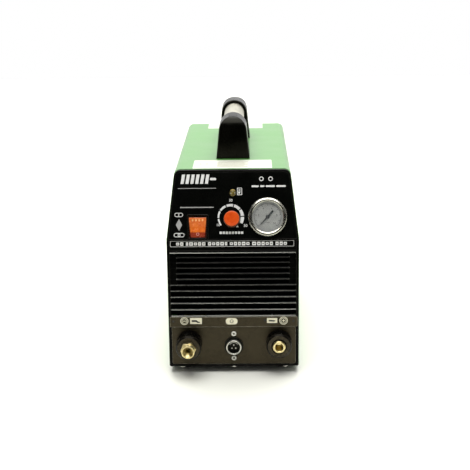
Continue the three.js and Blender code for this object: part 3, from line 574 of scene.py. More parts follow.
def surface(name, dark, light, rough, grain=0.5, relief=0.01, patch=25.0, metal=0.0,
            wear_and_sheen=None, stretch=(1, 1, 1), values=None):
    """The common finish: two tones in soft patches, a fine grain in relief, and paler edges, which are
    wear on some finishes and a painted highlight on others.
    """
    look = Look(name, {"Metallic": metal, **(values or {})})
    patches = look.noise(patch, 2.0)
    grains = look.noise(grain, 3.0, stretch)
    mixed = look.maths("ADD", look.maths("MULTIPLY", patches, 0.6),
                       look.maths("MULTIPLY", grains, 0.4))
    colour = look.blend(look.spread(mixed, 0.0, 1.0, 0.38, 0.62), (*dark, 1), (*light, 1))
    if wear_and_sheen:
        # Paler rims from the edge attribute: wear on the painted sheet, painted highlight on the bezel,
        # slats, plate and collars.
        paled = look.maths("MULTIPLY", look.edge(), look.spread(look.noise(2.0), 0.35, 1.0))
        colour = look.blend(paled, colour, (*wear_and_sheen, 1))
    look.set(look.shader, {
        "Base Color": colour,
        "Roughness": look.spread(mixed, rough[0], rough[1], 0.38, 0.62),
        "Normal": look.bump(grains, relief),
    })
    return look.material


def printed(name, colour, rough=0.4):
    """Screen-printed ink: nearly even, with tiny thin spots."""
    look = Look(name, {})
    thin = look.spread(look.noise(0.35, 4.0), 0.0, 0.35, 0.55, 0.75)
    faded = [channel * 0.7 for channel in colour]
    look.set(look.shader, {
        "Base Color": look.blend(thin, (*colour, 1), (*faded, 1)),
        "Roughness": look.spread(look.noise(3.0), rough - 0.08, rough + 0.08),
        "Normal": look.bump(look.noise(0.2), 0.003),
    })
    return look.material


def brushed(name, dark, light, rough, stretch, relief=0.004, wear_and_sheen=None):
    """Turned or drawn metal with fine lines along it."""
    look = Look(name, {"Metallic": 1.0})
    lines = look.noise(0.25, 3.0, stretch)
    patches = look.noise(9.0, 3.0)
    mixed = look.maths("ADD", look.maths("MULTIPLY", patches, 0.5),
                       look.maths("MULTIPLY", lines, 0.5))
    colour = look.blend(look.spread(mixed, 0.0, 1.0, 0.36, 0.64), (*dark, 1), (*light, 1))
    # Paler rims: painted highlight on the bright metals.
    if wear_and_sheen:
        colour = look.blend(look.maths("MULTIPLY", look.edge(), 0.6), colour, (*wear_and_sheen, 1))
    look.set(look.shader, {
        "Base Color": colour,
        "Roughness": look.spread(mixed, rough[0], rough[1], 0.36, 0.64),
        "Normal": look.bump(lines, relief),
    })
    return look.material


def glass(name):
    """Thin clear window: see-through, with a pale colour that turns more opaque towards the rim as a
    painted reflection.
    """
    look = Look(name, {"Base Color": (0.9, 0.95, 0.95, 1), "IOR": 1.45})
    facing = look.add("ShaderNodeLayerWeight", {"Blend": 0.35}).outputs["Fresnel"]
    smears = look.noise(6.0, 3.0)
    look.set(look.shader, {
        "Alpha": look.spread(facing, 0.02, 0.35, 0.0, 1.0),
        "Roughness": look.spread(smears, 0.02, 0.09),
    })
    return look.material


def lamp_lens(name):
    look = Look(name, {"Transmission Weight": 0.35, "IOR": 1.5, "Roughness": 0.18})
    depth = look.spread(look.noise(1.2, 2.0), 0.0, 1.0)
    look.set(look.shader, {
        "Base Color": look.blend(depth, (0.16, 0.12, 0.02, 1), (0.42, 0.34, 0.10, 1)),
        "Normal": look.bump(look.noise(0.5), 0.02),
    })
    return look.material


def board_look(name):
    """Green circuit board with copper tracks under its mask."""
    look = Look(name, {"Roughness": 0.35})
    cells = look.add("ShaderNodeTexVoronoi", {"Vector": look.place, "Scale": 260.0},
                     distance="MANHATTAN")
    tracks = look.spread(cells.outputs["Distance"], 1.0, 0.0, 0.25, 0.32)
    look.set(look.shader, {
        "Base Color": look.blend(tracks, (0.01, 0.10, 0.04, 1), (0.03, 0.20, 0.07, 1)),
        "Normal": look.bump(tracks, 0.03),
    })
    return look.material


def wound(name, dark, light, pitch):
    """Enamelled copper wire laid side by side."""
    look = Look(name, {"Metallic": 0.8, "Roughness": 0.3})
    turns = look.add("ShaderNodeTexWave", {"Vector": look.place, "Scale": 0.32 / (pitch * MM),
                                           "Distortion": 0.6, "Detail": 1.0},
                     bands_direction="Z").outputs["Fac"]
    look.set(look.shader, {
        "Base Color": look.blend(turns, (*dark, 1), (*light, 1)),
        "Normal": look.bump(turns, 0.4),
    })
    return look.material


def dial_look(name):
    """Pale dial paint with a faint speckle."""
    look = Look(name, {"Roughness": 0.55})
    speckle = look.spread(look.noise(0.4, 4.0), 0.0, 1.0, 0.35, 0.65)
    cloud = look.spread(look.noise(8.0), 0.0, 1.0)
    base = look.blend(cloud, (0.37, 0.37, 0.35, 1), (0.50, 0.50, 0.47, 1))
    faint = look.maths("MULTIPLY", speckle, 0.35)
    look.set(look.shader, {
        "Base Color": look.blend(faint, base, (0.26, 0.26, 0.25, 1)),
        "Normal": look.bump(look.noise(0.3), 0.004),
    })
    return look.material


GREEN = surface("green_paint", (0.103, 0.305, 0.064), (0.113, 0.325, 0.074), (0.28, 0.36),
                grain=1.1, relief=0.02, patch=60.0, wear_and_sheen=(0.25, 0.45, 0.22),
                values={"Coat Weight": 0.25})
BLACK_PAINT = surface("black_paint", (0.010, 0.010, 0.010), (0.020, 0.020, 0.019), (0.35, 0.5),
                      grain=0.9, relief=0.02, wear_and_sheen=(0.10, 0.10, 0.10))
# Black bezel plastic; its paler rims are a painted highlight along the rounded edges.
BEZEL = surface("bezel_plastic", (0.0012, 0.0012, 0.001), (0.0025, 0.0025, 0.002), (0.14, 0.24),
                grain=0.35, relief=0.004, wear_and_sheen=(0.03, 0.03, 0.025),
                values={"Specular IOR Level": 0.05})
# Slat plastic; its near-white rim colour is a painted highlight on the slats' upper lips.
SLAT = surface("slat_plastic", (0.004, 0.004, 0.0035), (0.007, 0.007, 0.006), (0.28, 0.40),
               grain=0.3, relief=0.006, wear_and_sheen=(0.95, 0.95, 0.85),
               values={"Specular IOR Level": 0.2})
# Near-black foam: painted shade behind the louvres.
SHADE_FOAM = surface("shade_foam", (0.002, 0.002, 0.002), (0.005, 0.005, 0.005), (0.9, 1.0),
               grain=1.2, relief=0.3, values={"Specular IOR Level": 0.1})
FILM = surface("overlay_film", (0.0015, 0.0018, 0.0015), (0.0028, 0.003, 0.0026), (0.10, 0.20),
               grain=0.25, relief=0.003, values={"Specular IOR Level": 0.18})
# Plate and strip plastic: the brown tint and soft blotches of its colour are a painted reflection of
# the pale floor, and its pale rims a painted highlight.
PLATE = surface("plate_plastic", (0.012, 0.0095, 0.0045), (0.026, 0.021, 0.011), (0.22, 0.34),
                grain=0.3, relief=0.008, patch=22.0, wear_and_sheen=(0.6, 0.56, 0.45),
                values={"Specular IOR Level": 0.38, "Specular Tint": (1.0, 0.84, 0.58, 1)})
# Collar plastic; its paler colour on the front faces is a painted highlight.
COLLAR = surface("collar_plastic", (0.001, 0.001, 0.0008), (0.003, 0.0027, 0.0022), (0.20, 0.34),
                 grain=0.28, relief=0.012, patch=3.0, wear_and_sheen=(0.075, 0.063, 0.042),
                 values={"Specular IOR Level": 0.1, "Specular Tint": (1.0, 0.88, 0.7, 1)})
BLACK = surface("black_plastic", (0.0012, 0.0012, 0.0008), (0.0025, 0.0025, 0.0018), (0.22, 0.36),
                grain=0.4, relief=0.008, wear_and_sheen=(0.03, 0.03, 0.025),
                values={"Specular IOR Level": 0.15, "Specular Tint": (1.0, 0.97, 0.8, 1)})
BROWN = surface("knob_plastic", (0.022, 0.011, 0.006), (0.040, 0.020, 0.011), (0.3, 0.45), grain=0.4,
                wear_and_sheen=(0.14, 0.07, 0.04), values={"Specular IOR Level": 0.2})
ORANGE = surface("orange_plastic", (0.62, 0.055, 0.003), (0.74, 0.085, 0.006), (0.30, 0.42),
                 grain=0.3, relief=0.008, patch=6.0, wear_and_sheen=(0.80, 0.22, 0.06),
                 values={"Specular IOR Level": 0.2})
# Brushed metals; their paler rim colours are painted highlights.
BRASS = brushed("brass", (0.68, 0.54, 0.23), (0.92, 0.80, 0.44), (0.28, 0.42), (1, 12, 1),
                wear_and_sheen=(0.93, 0.8, 0.5))
OLD_BRASS = brushed("old_brass", (0.22, 0.16, 0.05), (0.46, 0.36, 0.14), (0.3, 0.45), (1, 6, 1))
NICKEL = brushed("nickel_steel", (0.64, 0.63, 0.57), (0.90, 0.88, 0.81), (0.24, 0.38), (1, 10, 1),
                 wear_and_sheen=(0.9, 0.88, 0.8))
TIN = surface("tin_plate", (0.78, 0.76, 0.68), (0.92, 0.90, 0.82), (0.32, 0.46), grain=0.3,
              relief=0.006, patch=3.0, metal=0.3)
POLISHED = brushed("polished_steel", (0.56, 0.55, 0.46), (0.74, 0.72, 0.62), (0.20, 0.30),
                   (1, 1, 1), relief=0.001, wear_and_sheen=(0.95, 0.93, 0.85))
TUBE = brushed("handle_steel", (0.47, 0.45, 0.36), (0.67, 0.64, 0.52), (0.30, 0.45), (1, 0.05, 1))
ALUMINIUM = brushed("aluminium", (0.55, 0.56, 0.57), (0.75, 0.76, 0.77), (0.25, 0.4), (1, 0.1, 1))
RUBBER = surface("rubber", (0.010, 0.010, 0.010), (0.022, 0.021, 0.020), (0.65, 0.85),
                 relief=0.03)
FERRITE = surface("ferrite", (0.03, 0.03, 0.032), (0.06, 0.06, 0.062), (0.55, 0.75), grain=0.4,
                  relief=0.02)
SLEEVE = surface("capacitor_sleeve", (0.008, 0.02, 0.05), (0.014, 0.032, 0.08), (0.2, 0.3),
                 grain=0.6, relief=0.006)
HOSE = surface("air_hose", (0.01, 0.06, 0.24), (0.02, 0.09, 0.34), (0.25, 0.35), grain=0.6,
               relief=0.006)
GAUGE_TUBE = surface("gauge_tube", (0.012, 0.012, 0.012), (0.02, 0.02, 0.02), (0.3, 0.4),
                     grain=0.6, relief=0.006)
NEEDLE = surface("needle_paint", (0.001, 0.001, 0.001), (0.003, 0.003, 0.003), (0.35, 0.5),
                 grain=0.3, relief=0.004)
STICKER = surface("sticker_vinyl", (0.66, 0.67, 0.56), (0.74, 0.75, 0.66), (0.35, 0.5),
                  relief=0.004, patch=12.0)
GLASS = glass("gauge_glass")
LAMP_LENS = lamp_lens("led_amber")
BOARD = board_look("circuit_board")
COPPER = wound("copper_wire", (0.35, 0.13, 0.04), (0.72, 0.33, 0.13), 1.4)
DIAL = dial_look("dial_face")
WHITE_INK = printed("white_ink", (0.80, 0.80, 0.78))
GREY_INK = printed("grey_ink", (0.38, 0.38, 0.37))
DARK_INK = printed("dark_ink", (0.006, 0.006, 0.005))
FAINT_INK = printed("faint_ink", (0.30, 0.28, 0.17))
LABEL = printed("label_cream", (0.86, 0.82, 0.62))


# ---- Cover ----


def front_setback(z):
    return max(0.0, (z - SHOULDER_Z) * math.tan(PANEL_TILT))


def cover_screw_places():
    return [(y, z) for y in COVER_SCREW_YS for z in COVER_SCREW_ZS]


def cover_cutter():
    """Cooling slots and screw holes, as bars right across the unit."""
    shape = new_shape()
    for middle in SLOT_MIDDLES:
        for row in range(SLOT_ROWS):
            bottom = SLOT_BOTTOM + SLOT_PITCH * row
            slot = rectangle(middle - SLOT_HALF, middle + SLOT_HALF, bottom, bottom + 4, 1.95, 5)
            add_plate(shape, [slot], -2 * HALF_WIDTH, 2 * HALF_WIDTH, across_unit(), edge=0)
    for y, z in cover_screw_places():
        hole = circle(3.9, y, z, 32)
        add_plate(shape, [hole], -2 * HALF_WIDTH, 2 * HALF_WIDTH, across_unit(), edge=0)
    return shape


def make_cover():
    """Folded sheet: the section without its floor, from the slanted front edge to the back."""
    outer = housing_outline(0.0, BASE_Z, 12)
    inner = housing_outline(SHEET, BASE_Z, 12)
    outer = outer[1:] + outer[:1]
    inner = inner[1:] + inner[:1]
    shape = new_shape()
    at = on_top()
    rings = []
    for (x, z, _), (inner_x, inner_z, _) in zip(outer, inner):
        front = COVER_FRONT + front_setback(z)
        corners = [(x, front, z), (x, LENGTH, z), (inner_x, LENGTH, inner_z), (inner_x, front, inner_z)]
        rings.append([vertex(shape, at, corner) for corner in corners])
    for first, second in zip(rings, rings[1:]):
        join_rings(shape, first, second, 4)
    shape.faces.new(rings[0])
    shape.faces.new(rings[-1][::-1])
    shape = subtract(shape, cover_cutter())
    piece("cover_shell", GREEN, shape, ["cover"], bevel=0.35)


def add_pan_head(shape, radius, height, at):
    """A low domed screw head, a millimetre deep below height and a little higher in its middle."""
    add_turned(shape, [(0, height - 1.0), (radius, height - 1.0, 0.2), (radius, height - 0.3, 0.3),
                       (radius * 0.6, height + 0.6, 1.0), (0, height + 0.75)], at, 48)


def cross_cutter(shape, size, top, at):
    """A bar with a cross section, which cuts a recess one millimetre deep from top."""
    half = size * 0.22
    corners = []
    for quarter in range(4):
        turn = Matrix.Rotation(quarter * math.pi / 2, 2)
        corners += [turn @ Vector(corner) for corner in ((size, -half), (size, half), (half, half))]
    add_plate(shape, [fillet(corners)], top - 1.0, top + 2.0, at, edge=0)


def make_cover_screws():
    """Countersunk screws, flush with the sides."""
    for side, name in ((-1, "left"), (1, "right")):
        heads = new_shape()
        cutters = new_shape()
        for y, z in cover_screw_places():
            at = axes((0, FRONT_Y + y, z), BACKWARD * side, UP, RIGHT * side)
            add_turned(heads, [(0, 74.2), (2.0, 74.2), (3.7, 76.2, 0.2), (3.6, 76.4, 0.1),
                               (0, 76.45)], at, 40, 3)
            cross_cutter(cutters, 2.0, 76.4, at)
        piece(f"cover_screws_{name}", NICKEL, subtract(heads, cutters))


def make_top_labels():
    """Two plain stickers on the top sheet, with faint generic marks on the front one."""
    sheets = new_shape()
    low = TOP_Z + 0.15
    for half, front, back in ((46, 32, 81), (38, 313.5, 354.5)):
        sheet = rectangle(-half, half, front, back, 1.5)
        add_plate(sheets, [sheet], TOP_Z, low, on_top(), edge=0.05)
    piece("top_labels", STICKER, sheets)
    marks = new_shape()
    for row in range(5):
        line = rectangle(-18, 18 - 4 * (row % 2), 40 + row * 7, 42 + row * 7, 0.6)
        add_print(marks, on_top(), low, line)
    add_print(marks, on_top(), low, circle(5, -34, 58), circle(4, -34, 58))
    piece("top_label_marks", FAINT_INK, marks)


# ---- Front bezel ----


def slanted(spot):
    """Leans a shape drawn on the front face back above the shoulder, as the panel does."""
    return Vector((spot.x, spot.y, spot.z - front_setback(spot.y)))


def on_slant(points):
    """Panel points (x, v) as points (x, z) of the front view."""
    return [(x, SHOULDER_Z + v * math.cos(PANEL_TILT), bend) for x, v, bend in points]


def overlay_outline(extra):
    return fillet([
        (-OVERLAY_HALF_BOTTOM - extra, OVERLAY_FOOT - extra, 1 + extra),
        (OVERLAY_HALF_BOTTOM + extra, OVERLAY_FOOT - extra, 1 + extra),
        (OVERLAY_HALF_TOP + extra, OVERLAY_HEAD + extra, 6 + extra),
        (-OVERLAY_HALF_TOP - extra, OVERLAY_HEAD + extra, 6 + extra),
    ], 8)


def upper_outline(inset, bottom):
    """The housing's section above bottom, moved inwards by inset."""
    half = HALF_WIDTH - inset
    top_half = half - (TOP_Z - inset - SHOULDER_Z) * math.tan(LEAN)
    radius = TOP_RADIUS - inset
    return fillet([(-half, bottom), (half, bottom), (top_half, TOP_Z - inset, radius),
                   (-top_half, TOP_Z - inset, radius)], 10)


def make_bezel_frame():
    """Frame round the panel, the louvres and the connector plate, and the skirt behind it."""
    shape = new_shape()
    add_plate(shape, [upper_outline(LIP_INSET, SHOULDER_Z - 0.5), on_slant(overlay_outline(0.3))],
              -LIP_DEPTH, 0.0, on_front(), edge=0.7, warp=slanted)
    half = HALF_WIDTH - LIP_INSET
    inside = LOUVRE_HALF_WIDTH + 0.2
    floor = PLATE_BOTTOM - 0.3
    legs = fillet([(-half, BASE_Z, 1.5), (half, BASE_Z, 1.5), (half, SHOULDER_Z), (inside, SHOULDER_Z),
                   (inside, floor, 1.5), (-inside, floor, 1.5), (-inside, SHOULDER_Z),
                   (-half, SHOULDER_Z)], 5)
    add_plate(shape, [legs], -LIP_DEPTH, -0.02, on_front(), edge=0.6)
    backing = [panel_backing()]
    add_plate(shape, backing + panel_holes(0.6), -2.4, -0.7, on_panel(), edge=0.2)
    add_plate(shape, [housing_outline(SKIRT_INSET, SKIRT_BOTTOM),
                      housing_outline(SKIRT_INSET + BEZEL_WALL, SKIRT_BOTTOM + 2.6)],
              -SKIRT_DEPTH, -LIP_DEPTH, on_front(), warp=slanted)
    piece("bezel_frame", BEZEL, shape, ["front_bezel"])


def panel_backing():
    """Flat sheet of the bezel behind the overlay."""
    return fillet([(-73.8, 0.4), (73.8, 0.4), (65.4, 79.4, 6), (-65.4, 79.4, 6)])


def panel_holes(extra):
    """Holes for the rocker, the knob's bushing, the lamp and the gauge."""
    return [
        rectangle(ROCKER[0] - 11.4 - extra, ROCKER[0] + 11.4 + extra, ROCKER[1] - 14 - extra,
                  ROCKER[1] + 14 + extra, 0.5, 3),
        circle(4.0 + extra, *KNOB, 40),
        circle(3.1 + extra, *LAMP, 40),
        circle(20.2 + extra, *GAUGE, 96),
    ]


def make_nose():
    """Band under the panel: a flat face, a soft swell and a thin sharp ledge over the louvres."""
    section = fillet([
        (LIP_DEPTH, 146.6),
        (LIP_DEPTH, 162.0),
        (-NOSE_FACE, 162.0, 0.3),
        (-NOSE_FACE, 152.6, 2.5),
        (-0.4, 150.4, 2.0),
        (0.3, 148.6, 1.5),
        (0.3, 146.6, 0.3),
    ])
    shape = new_shape()
    add_plate(shape, [section], -LOUVRE_HALF_WIDTH, LOUVRE_HALF_WIDTH, across_unit(), edge=0.25)
    piece("bezel_nose", BEZEL, shape)


def slat_z(index):
    return 141.1 - 6.2 * index - 0.094 * index * index


def slat_section(z, front, edge_weight):
    """A blade that drops a little towards the back, with a painted highlight on its rounded lip."""
    points = fillet([
        (front, z - 0.15, 0.2),
        (front + 1.6, z - 0.9, 0.6),
        (9.0, z - 2.35, 0.3),
        (9.0, z - 0.85, 0.3),
        (front + 0.8, z + 0.75, 0.8),
        (front, z + 0.25, 0.3),
    ], 4)
    # Only the upper part of the lip gets the painted highlight.
    return [(y, at, bend * edge_weight if at > z + 0.1 else 0.0) for y, at, bend in points]


def make_slats():
    """Blades across the louvres, with painted highlights on their lips that grow brighter towards the
    bottom, and a ledge above and below.
    """
    shape = new_shape()
    for index in range(SLAT_COUNT):
        half = SHORT_SLAT_HALF + 0.5 if index < SHORT_SLATS else LOUVRE_HALF_WIDTH + 0.2
        # Painted highlight strength, rising towards the lower slats.
        section = slat_section(slat_z(index), 0.3, 0.12 + 0.003 * index ** 3)
        add_plate(shape, [section], -half, half, across_unit(), edge=0.15)
    # The ledges carry a strong painted highlight along their lips.
    for z, front in ((LOUVRE_TOP - 0.7, -0.9), (LOUVRE_BOTTOM + 0.6, -0.6)):
        ledge = [point for point in slat_section(z, front, 3.0) if point[0] < 3.0]
        add_plate(shape, [ledge], -LOUVRE_HALF_WIDTH, LOUVRE_HALF_WIDTH, across_unit(), edge=0.15)
    piece("louvre_slats", SLAT, shape)


def make_cheeks():
    """Closed ends of the upper louvres, with short ends of slats standing out of them."""
    shape = new_shape()
    for index in range(SHORT_SLATS):
        for left, right in CHEEKS:
            add_plate(shape, [slat_section(slat_z(index), 1.0, 0.05)], left, right, across_unit(),
                      edge=0.1)
    for left, right in CHEEKS:
        wall = rectangle(left, right, slat_z(SHORT_SLATS), LOUVRE_TOP + 1, 0.4, 3)
        add_plate(shape, [wall], -8.8, -2.0, on_front())
    piece("louvre_cheeks", BEZEL, shape)


def make_louvre_shade():
    """Near-black foam sheet behind the louvres: painted shade that keeps the gaps between the slats
    black.
    """
    shape = new_shape()
    shade_sheet = rectangle(-LOUVRE_HALF_WIDTH, LOUVRE_HALF_WIDTH, LOUVRE_BOTTOM, LOUVRE_TOP, 1.0)
    add_plate(shape, [shade_sheet], -11.0, -9.4, on_front(), edge=0.4)
    piece("louvre_shade_sheet", SHADE_FOAM, shape)


def make_overlay():
    shape = new_shape()
    add_plate(shape, [overlay_outline(0.0)] + panel_holes(0.0), -0.6, -0.05, on_panel(), edge=0.1)
    piece("overlay_sheet", FILM, shape, ["control_overlay"])


def panel_mark(shape, *contours):
    """A printed mark on the overlay. The contours after the first are holes."""
    add_print(shape, on_panel(), -INK, *contours)


def print_title(bright, soft):
    """Slanted bars in place of the title, and two ruled lines."""
    for index in range(6):
        left = -59.6 + index * 5.6
        panel_mark(bright, [(left, 65.6, 0), (left + 3.6, 65.6, 0), (left + 5.4, 76.4, 0),
                            (left + 1.8, 76.4, 0)])
    panel_mark(bright, rectangle(-25.6, -18.6, 69.6, 72.4, 1.0, 3))
    panel_mark(soft, rectangle(-62.6, -18.6, 60.0, 60.7))
    panel_mark(soft, rectangle(-60.1, -21.3, 37.8, 39.0))


def print_rocker_marks(bright, soft):
    """A bar and a ring in rounded outlines for on and off, and a diamond between them."""
    for x, v, half in ((-61.7, 29.9, 4.9), (-61.4, 6.7, 6.15)):
        panel_mark(bright, rectangle(x - half, x + half, v - 2.4, v + 2.4, 2.3),
                   rectangle(x - half + 0.7, x + half - 0.7, v - 1.7, v + 1.7, 1.6))
    panel_mark(bright, rectangle(-62.1, -61.3, 28.5, 31.3))
    panel_mark(bright, circle(1.6, -61.4, 6.7, 32), circle(0.9, -61.4, 6.7, 32))
    panel_mark(soft, [(-61.5, 11.6, 0), (-57.9, 18.4, 0), (-61.5, 25.2, 0), (-65.1, 18.4, 0)])


def print_scale(bright):
    """The current scale's figures and bands, and a row of bars under it."""
    for figures, x, v in (("30", -2.05, 46.1), ("10", -16.5, 17.9), ("50", 14.9, 17.0)):
        text_outline(bright, figures, 4.4, x, v, -INK, 0.0, on_panel(), 0.03)
    for band in scale_bands():
        panel_mark(bright, band)
    for index in range(8):
        left = -14.9 + index * 3.5
        panel_mark(bright, rectangle(left, left + 2.7, 7.6, 10.4, 0.4, 3))


def print_thermometer(bright):
    """A thermometer in a frame beside the lamp."""
    panel_mark(bright, rectangle(5.4, 11.2, 52.3, 60.8, 0.8, 3),
               rectangle(6.1, 10.5, 53.0, 60.1, 0.4, 3))
    panel_mark(bright, circle(1.2, 7.8, 54.9, 24))
    panel_mark(bright, rectangle(7.3, 8.3, 55.8, 59.4, 0.4, 3))
    for row in range(3):
        panel_mark(bright, rectangle(9.0, 10.0, 55.6 + row * 1.4, 56.1 + row * 1.4))


def print_gauge_label(bright):
    """Bars in place of words over the gauge, and two plain rings."""
    for left, right in ((22.0, 30.5), (32.0, 37.0), (38.5, 49.0), (50.5, 61.5)):
        panel_mark(bright, rectangle(left, right, 61.3, 63.3, 0.8, 3))
    for x in (33.5, 44.0):
        panel_mark(bright, circle(2.6, x, 70.8, 32), circle(1.7, x, 70.8, 32))


def make_panel_print():
    """Printed marks on the overlay: no words, only bars, figures and plain pictograms."""
    bright = new_shape()
    soft = new_shape()
    print_title(bright, soft)
    print_rocker_marks(bright, soft)
    print_scale(bright)
    print_thermometer(bright)
    print_gauge_label(bright)
    piece("overlay_print_white", WHITE_INK, bright)
    piece("overlay_print_grey", GREY_INK, soft)


def scale_bands():
    """The current scale: bands that grow wider from its low end to its high end, and a pointer."""
    start, end, gap, count, outer = 222.0, -33.0, 5.0, 7, 15.2
    step = (start - end) / count
    bands = []
    for index in range(count):
        first = start - step * index - gap / 2
        last = start - step * (index + 1) + gap / 2
        inner = tuple(outer - 1.5 - 2.7 * (index + share) / count for share in (0.0, 1.0))
        bands.append(arc_band(inner, (outer, outer), first, last, -1.9, 26.9, 10))
    bands.append([(3.9, 15.4, 0), (7.2, 15.2, 0), (5.8, 17.9, 0)])
    return bands


def make_nose_print():
    """Outlined band with a row of plain blocks in place of its words."""
    shape = new_shape()
    add_print(shape, on_front(), NOSE_FACE, rectangle(-71.8, 70.3, 154.2, 161.2, 0.4, 2),
              rectangle(-71.4, 69.9, 154.6, 160.8, 0.3, 2))
    left = -65.0
    for index, width in enumerate(NOSE_BLOCKS):
        height = 4.2 if index % 4 else 3.4
        block = rectangle(left, left + width, 157.7 - height / 2, 157.7 + height / 2, 0.5, 2)
        slit = rectangle(left + 0.9, left + width - 0.9, 157.2, 158.1, 0.2, 2)
        add_print(shape, on_front(), NOSE_FACE, block, slit)
        left += width + (3.0 if index % 5 == 1 else 1.1)
    piece("nose_print", WHITE_INK, shape)


def make_strip():
    """Thin strip between the louvres and the connector plate."""
    shape = new_shape()
    outline = rectangle(-74.5, 74.5, STRIP_BOTTOM, LOUVRE_BOTTOM - 0.3, 0.8, 4)
    add_plate(shape, [outline], 0.0, STRIP_FACE, on_front(), edge=0.45)
    piece("strip_bar", PLATE, shape, ["symbol_strip"])


def add_polarity(shape, x, z, radius, positive):
    """A plus or a minus inside two rings."""
    at = on_front()
    for outer, inner in ((radius, radius - 0.8), (radius - 1.5, radius - 2.1)):
        add_print(shape, at, STRIP_FACE, circle(outer, x, z, 48), circle(inner, x, z, 48))
    add_print(shape, at, STRIP_FACE, rectangle(x - 1.9, x + 1.9, z - 0.4, z + 0.4))
    if positive:
        for bottom, top in ((z - 1.9, z - 0.4), (z + 0.4, z + 1.9)):
            add_print(shape, at, STRIP_FACE, rectangle(x - 0.4, x + 0.4, bottom, top))


def make_strip_labels():
    """Polarity marks at both ends, and a pale ground for each pictogram."""
    shape = new_shape()
    add_polarity(shape, -57.5, 64.6, 4.7, False)
    add_polarity(shape, 58.3, 64.6, 4.9, True)
    for ground in (rectangle(-50.9, -37.0, 61.0, 68.4, 0.5, 3),
                   rectangle(-9.2, 4.6, 60.2, 68.0, 3.6, 8),
                   rectangle(38.9, 51.0, 61.7, 67.7, 0.5, 3)):
        add_print(shape, on_front(), STRIP_FACE, ground)
    piece("strip_labels", LABEL, shape)


def make_strip_marks():
    """A torch, a socket and a clamp on their pale grounds, and three small squares."""
    at = on_front()
    low = STRIP_FACE + INK
    dark = new_shape()
    torch = [(-48.8, 63.6, 0), (-44.0, 63.6, 0), (-42.0, 62.4, 0), (-39.4, 62.4, 0),
             (-39.4, 63.6, 0), (-41.4, 63.9, 0), (-43.4, 65.8, 0), (-48.8, 65.8, 0)]
    add_print(dark, at, low, torch)
    add_print(dark, at, low, circle(2.2, -2.3, 64.1, 32), circle(1.7, -2.3, 64.1, 32))
    for x in (-3.2, -1.4):
        add_print(dark, at, low, circle(0.4, x, 64.1, 16))
    clamp = [(41.0, 63.9, 0), (47.2, 63.4, 0), (49.2, 64.2, 0), (47.2, 65.2, 0), (41.0, 65.6, 0)]
    add_print(dark, at, low, clamp)
    for x, z in ((-70.4, 64.2), (69.8, 64.2), (36.6, 65.0)):
        square = rectangle(x - 1.2, x + 1.2, z - 1.2, z + 1.2)
        add_plate(dark, [square], STRIP_FACE, low + INK, at, edge=0)
    piece("strip_marks", DARK_INK, dark)


def make_connector_plate():
    shape = new_shape()
    holes = [circle(6.3, *TORCH, 48), circle(7.6, *OUTPUT, 48), circle(8.3, *CONTROL, 48)]
    for offset in (RIVET_OFFSET, -RIVET_OFFSET):
        holes.append(circle(1.7, CONTROL[0], CONTROL[1] + offset, 24))
    outline = rectangle(-PLATE_HALF_WIDTH + 0.5, PLATE_HALF_WIDTH - 0.5, PLATE_BOTTOM, PLATE_TOP,
                        2.0)
    add_plate(shape, [outline] + holes, -PLATE_BACK, -PLATE_FRONT, on_front(), edge=0.4)
    piece("connector_panel", PLATE, shape, ["connector_plate"])


# ---- Connectors ----


def make_collar(name, node, place, length, bore):
    """Black moulded collar: a chamfered face painted paler as a highlight, a shallow step and a bore.
    """
    profile = fillet([
        (bore, -PLATE_FRONT + 0.3),
        (BOSS_RADIUS, -PLATE_FRONT + 0.3),
        (BOSS_RADIUS - 0.3, length - 2.0, 0.6),
        (BOSS_RADIUS - 2.0, length, 0.7),
        (bore + 1.6, length, 0.3),
        (bore + 1.3, length - 0.6, 0.2),
        (bore, length - 0.6, 0.2),
    ], 5)
    # The whole front face is marked for the paler colour: a painted highlight.
    paled = [(radius, height, 0.9 if height > length - 0.1 else bend)
              for radius, height, bend in profile]
    shape = new_shape()
    add_lathe(shape, paled, on_front(*place), 128, closed=True)
    piece(name, COLLAR, shape, [node])


def thread(pitch, depth, low, high):
    """A wave that cuts a thread between two heights."""
    def wave(angle, radius, height):
        if not low <= height <= high:
            return radius
        turn = (height / pitch + angle / (2 * math.pi)) % 1.0
        return radius - depth * abs(2 * turn - 1)
    return wave


def threaded(radius, low, high, step=0.25):
    """Profile points close enough together to carry a thread."""
    count = int((high - low) / step)
    return [(radius, low + (high - low) * index / count) for index in range(count + 1)]


def make_torch_fitting():
    """Brass connector: a hexagon behind a threaded stub with a flared mouth."""
    at = on_front(*TORCH)
    shape = new_shape()
    hexagon = polygon(15.9 / math.sqrt(3), 6, math.radians(38 + 90), 0.5)
    add_plate(shape, [hexagon, circle(5.6, count=48)], 21.8, 27.2, at, edge=0.5)
    stub = [(5.6, 27.0), (7.3, 27.0)] + threaded(7.5, 27.4, 32.0)
    stub += fillet([(7.6, 32.1), (7.55, 34.0, 0.35), (6.3, 34.0, 0.3), (6.1, 33.4, 0.3),
                    (2.3, 28.8, 0.3), (2.3, 21.0), (5.6, 21.0)], 4, closed=False)
    add_lathe(shape, stub, at, closed=True, wave=thread(1.2, 0.3, 27.6, 31.8))
    add_tube(shape, 2.4, 5.9, -20.0, 22.0, at, 48)
    piece("torch_fitting", BRASS, shape, ["torch_connector"])


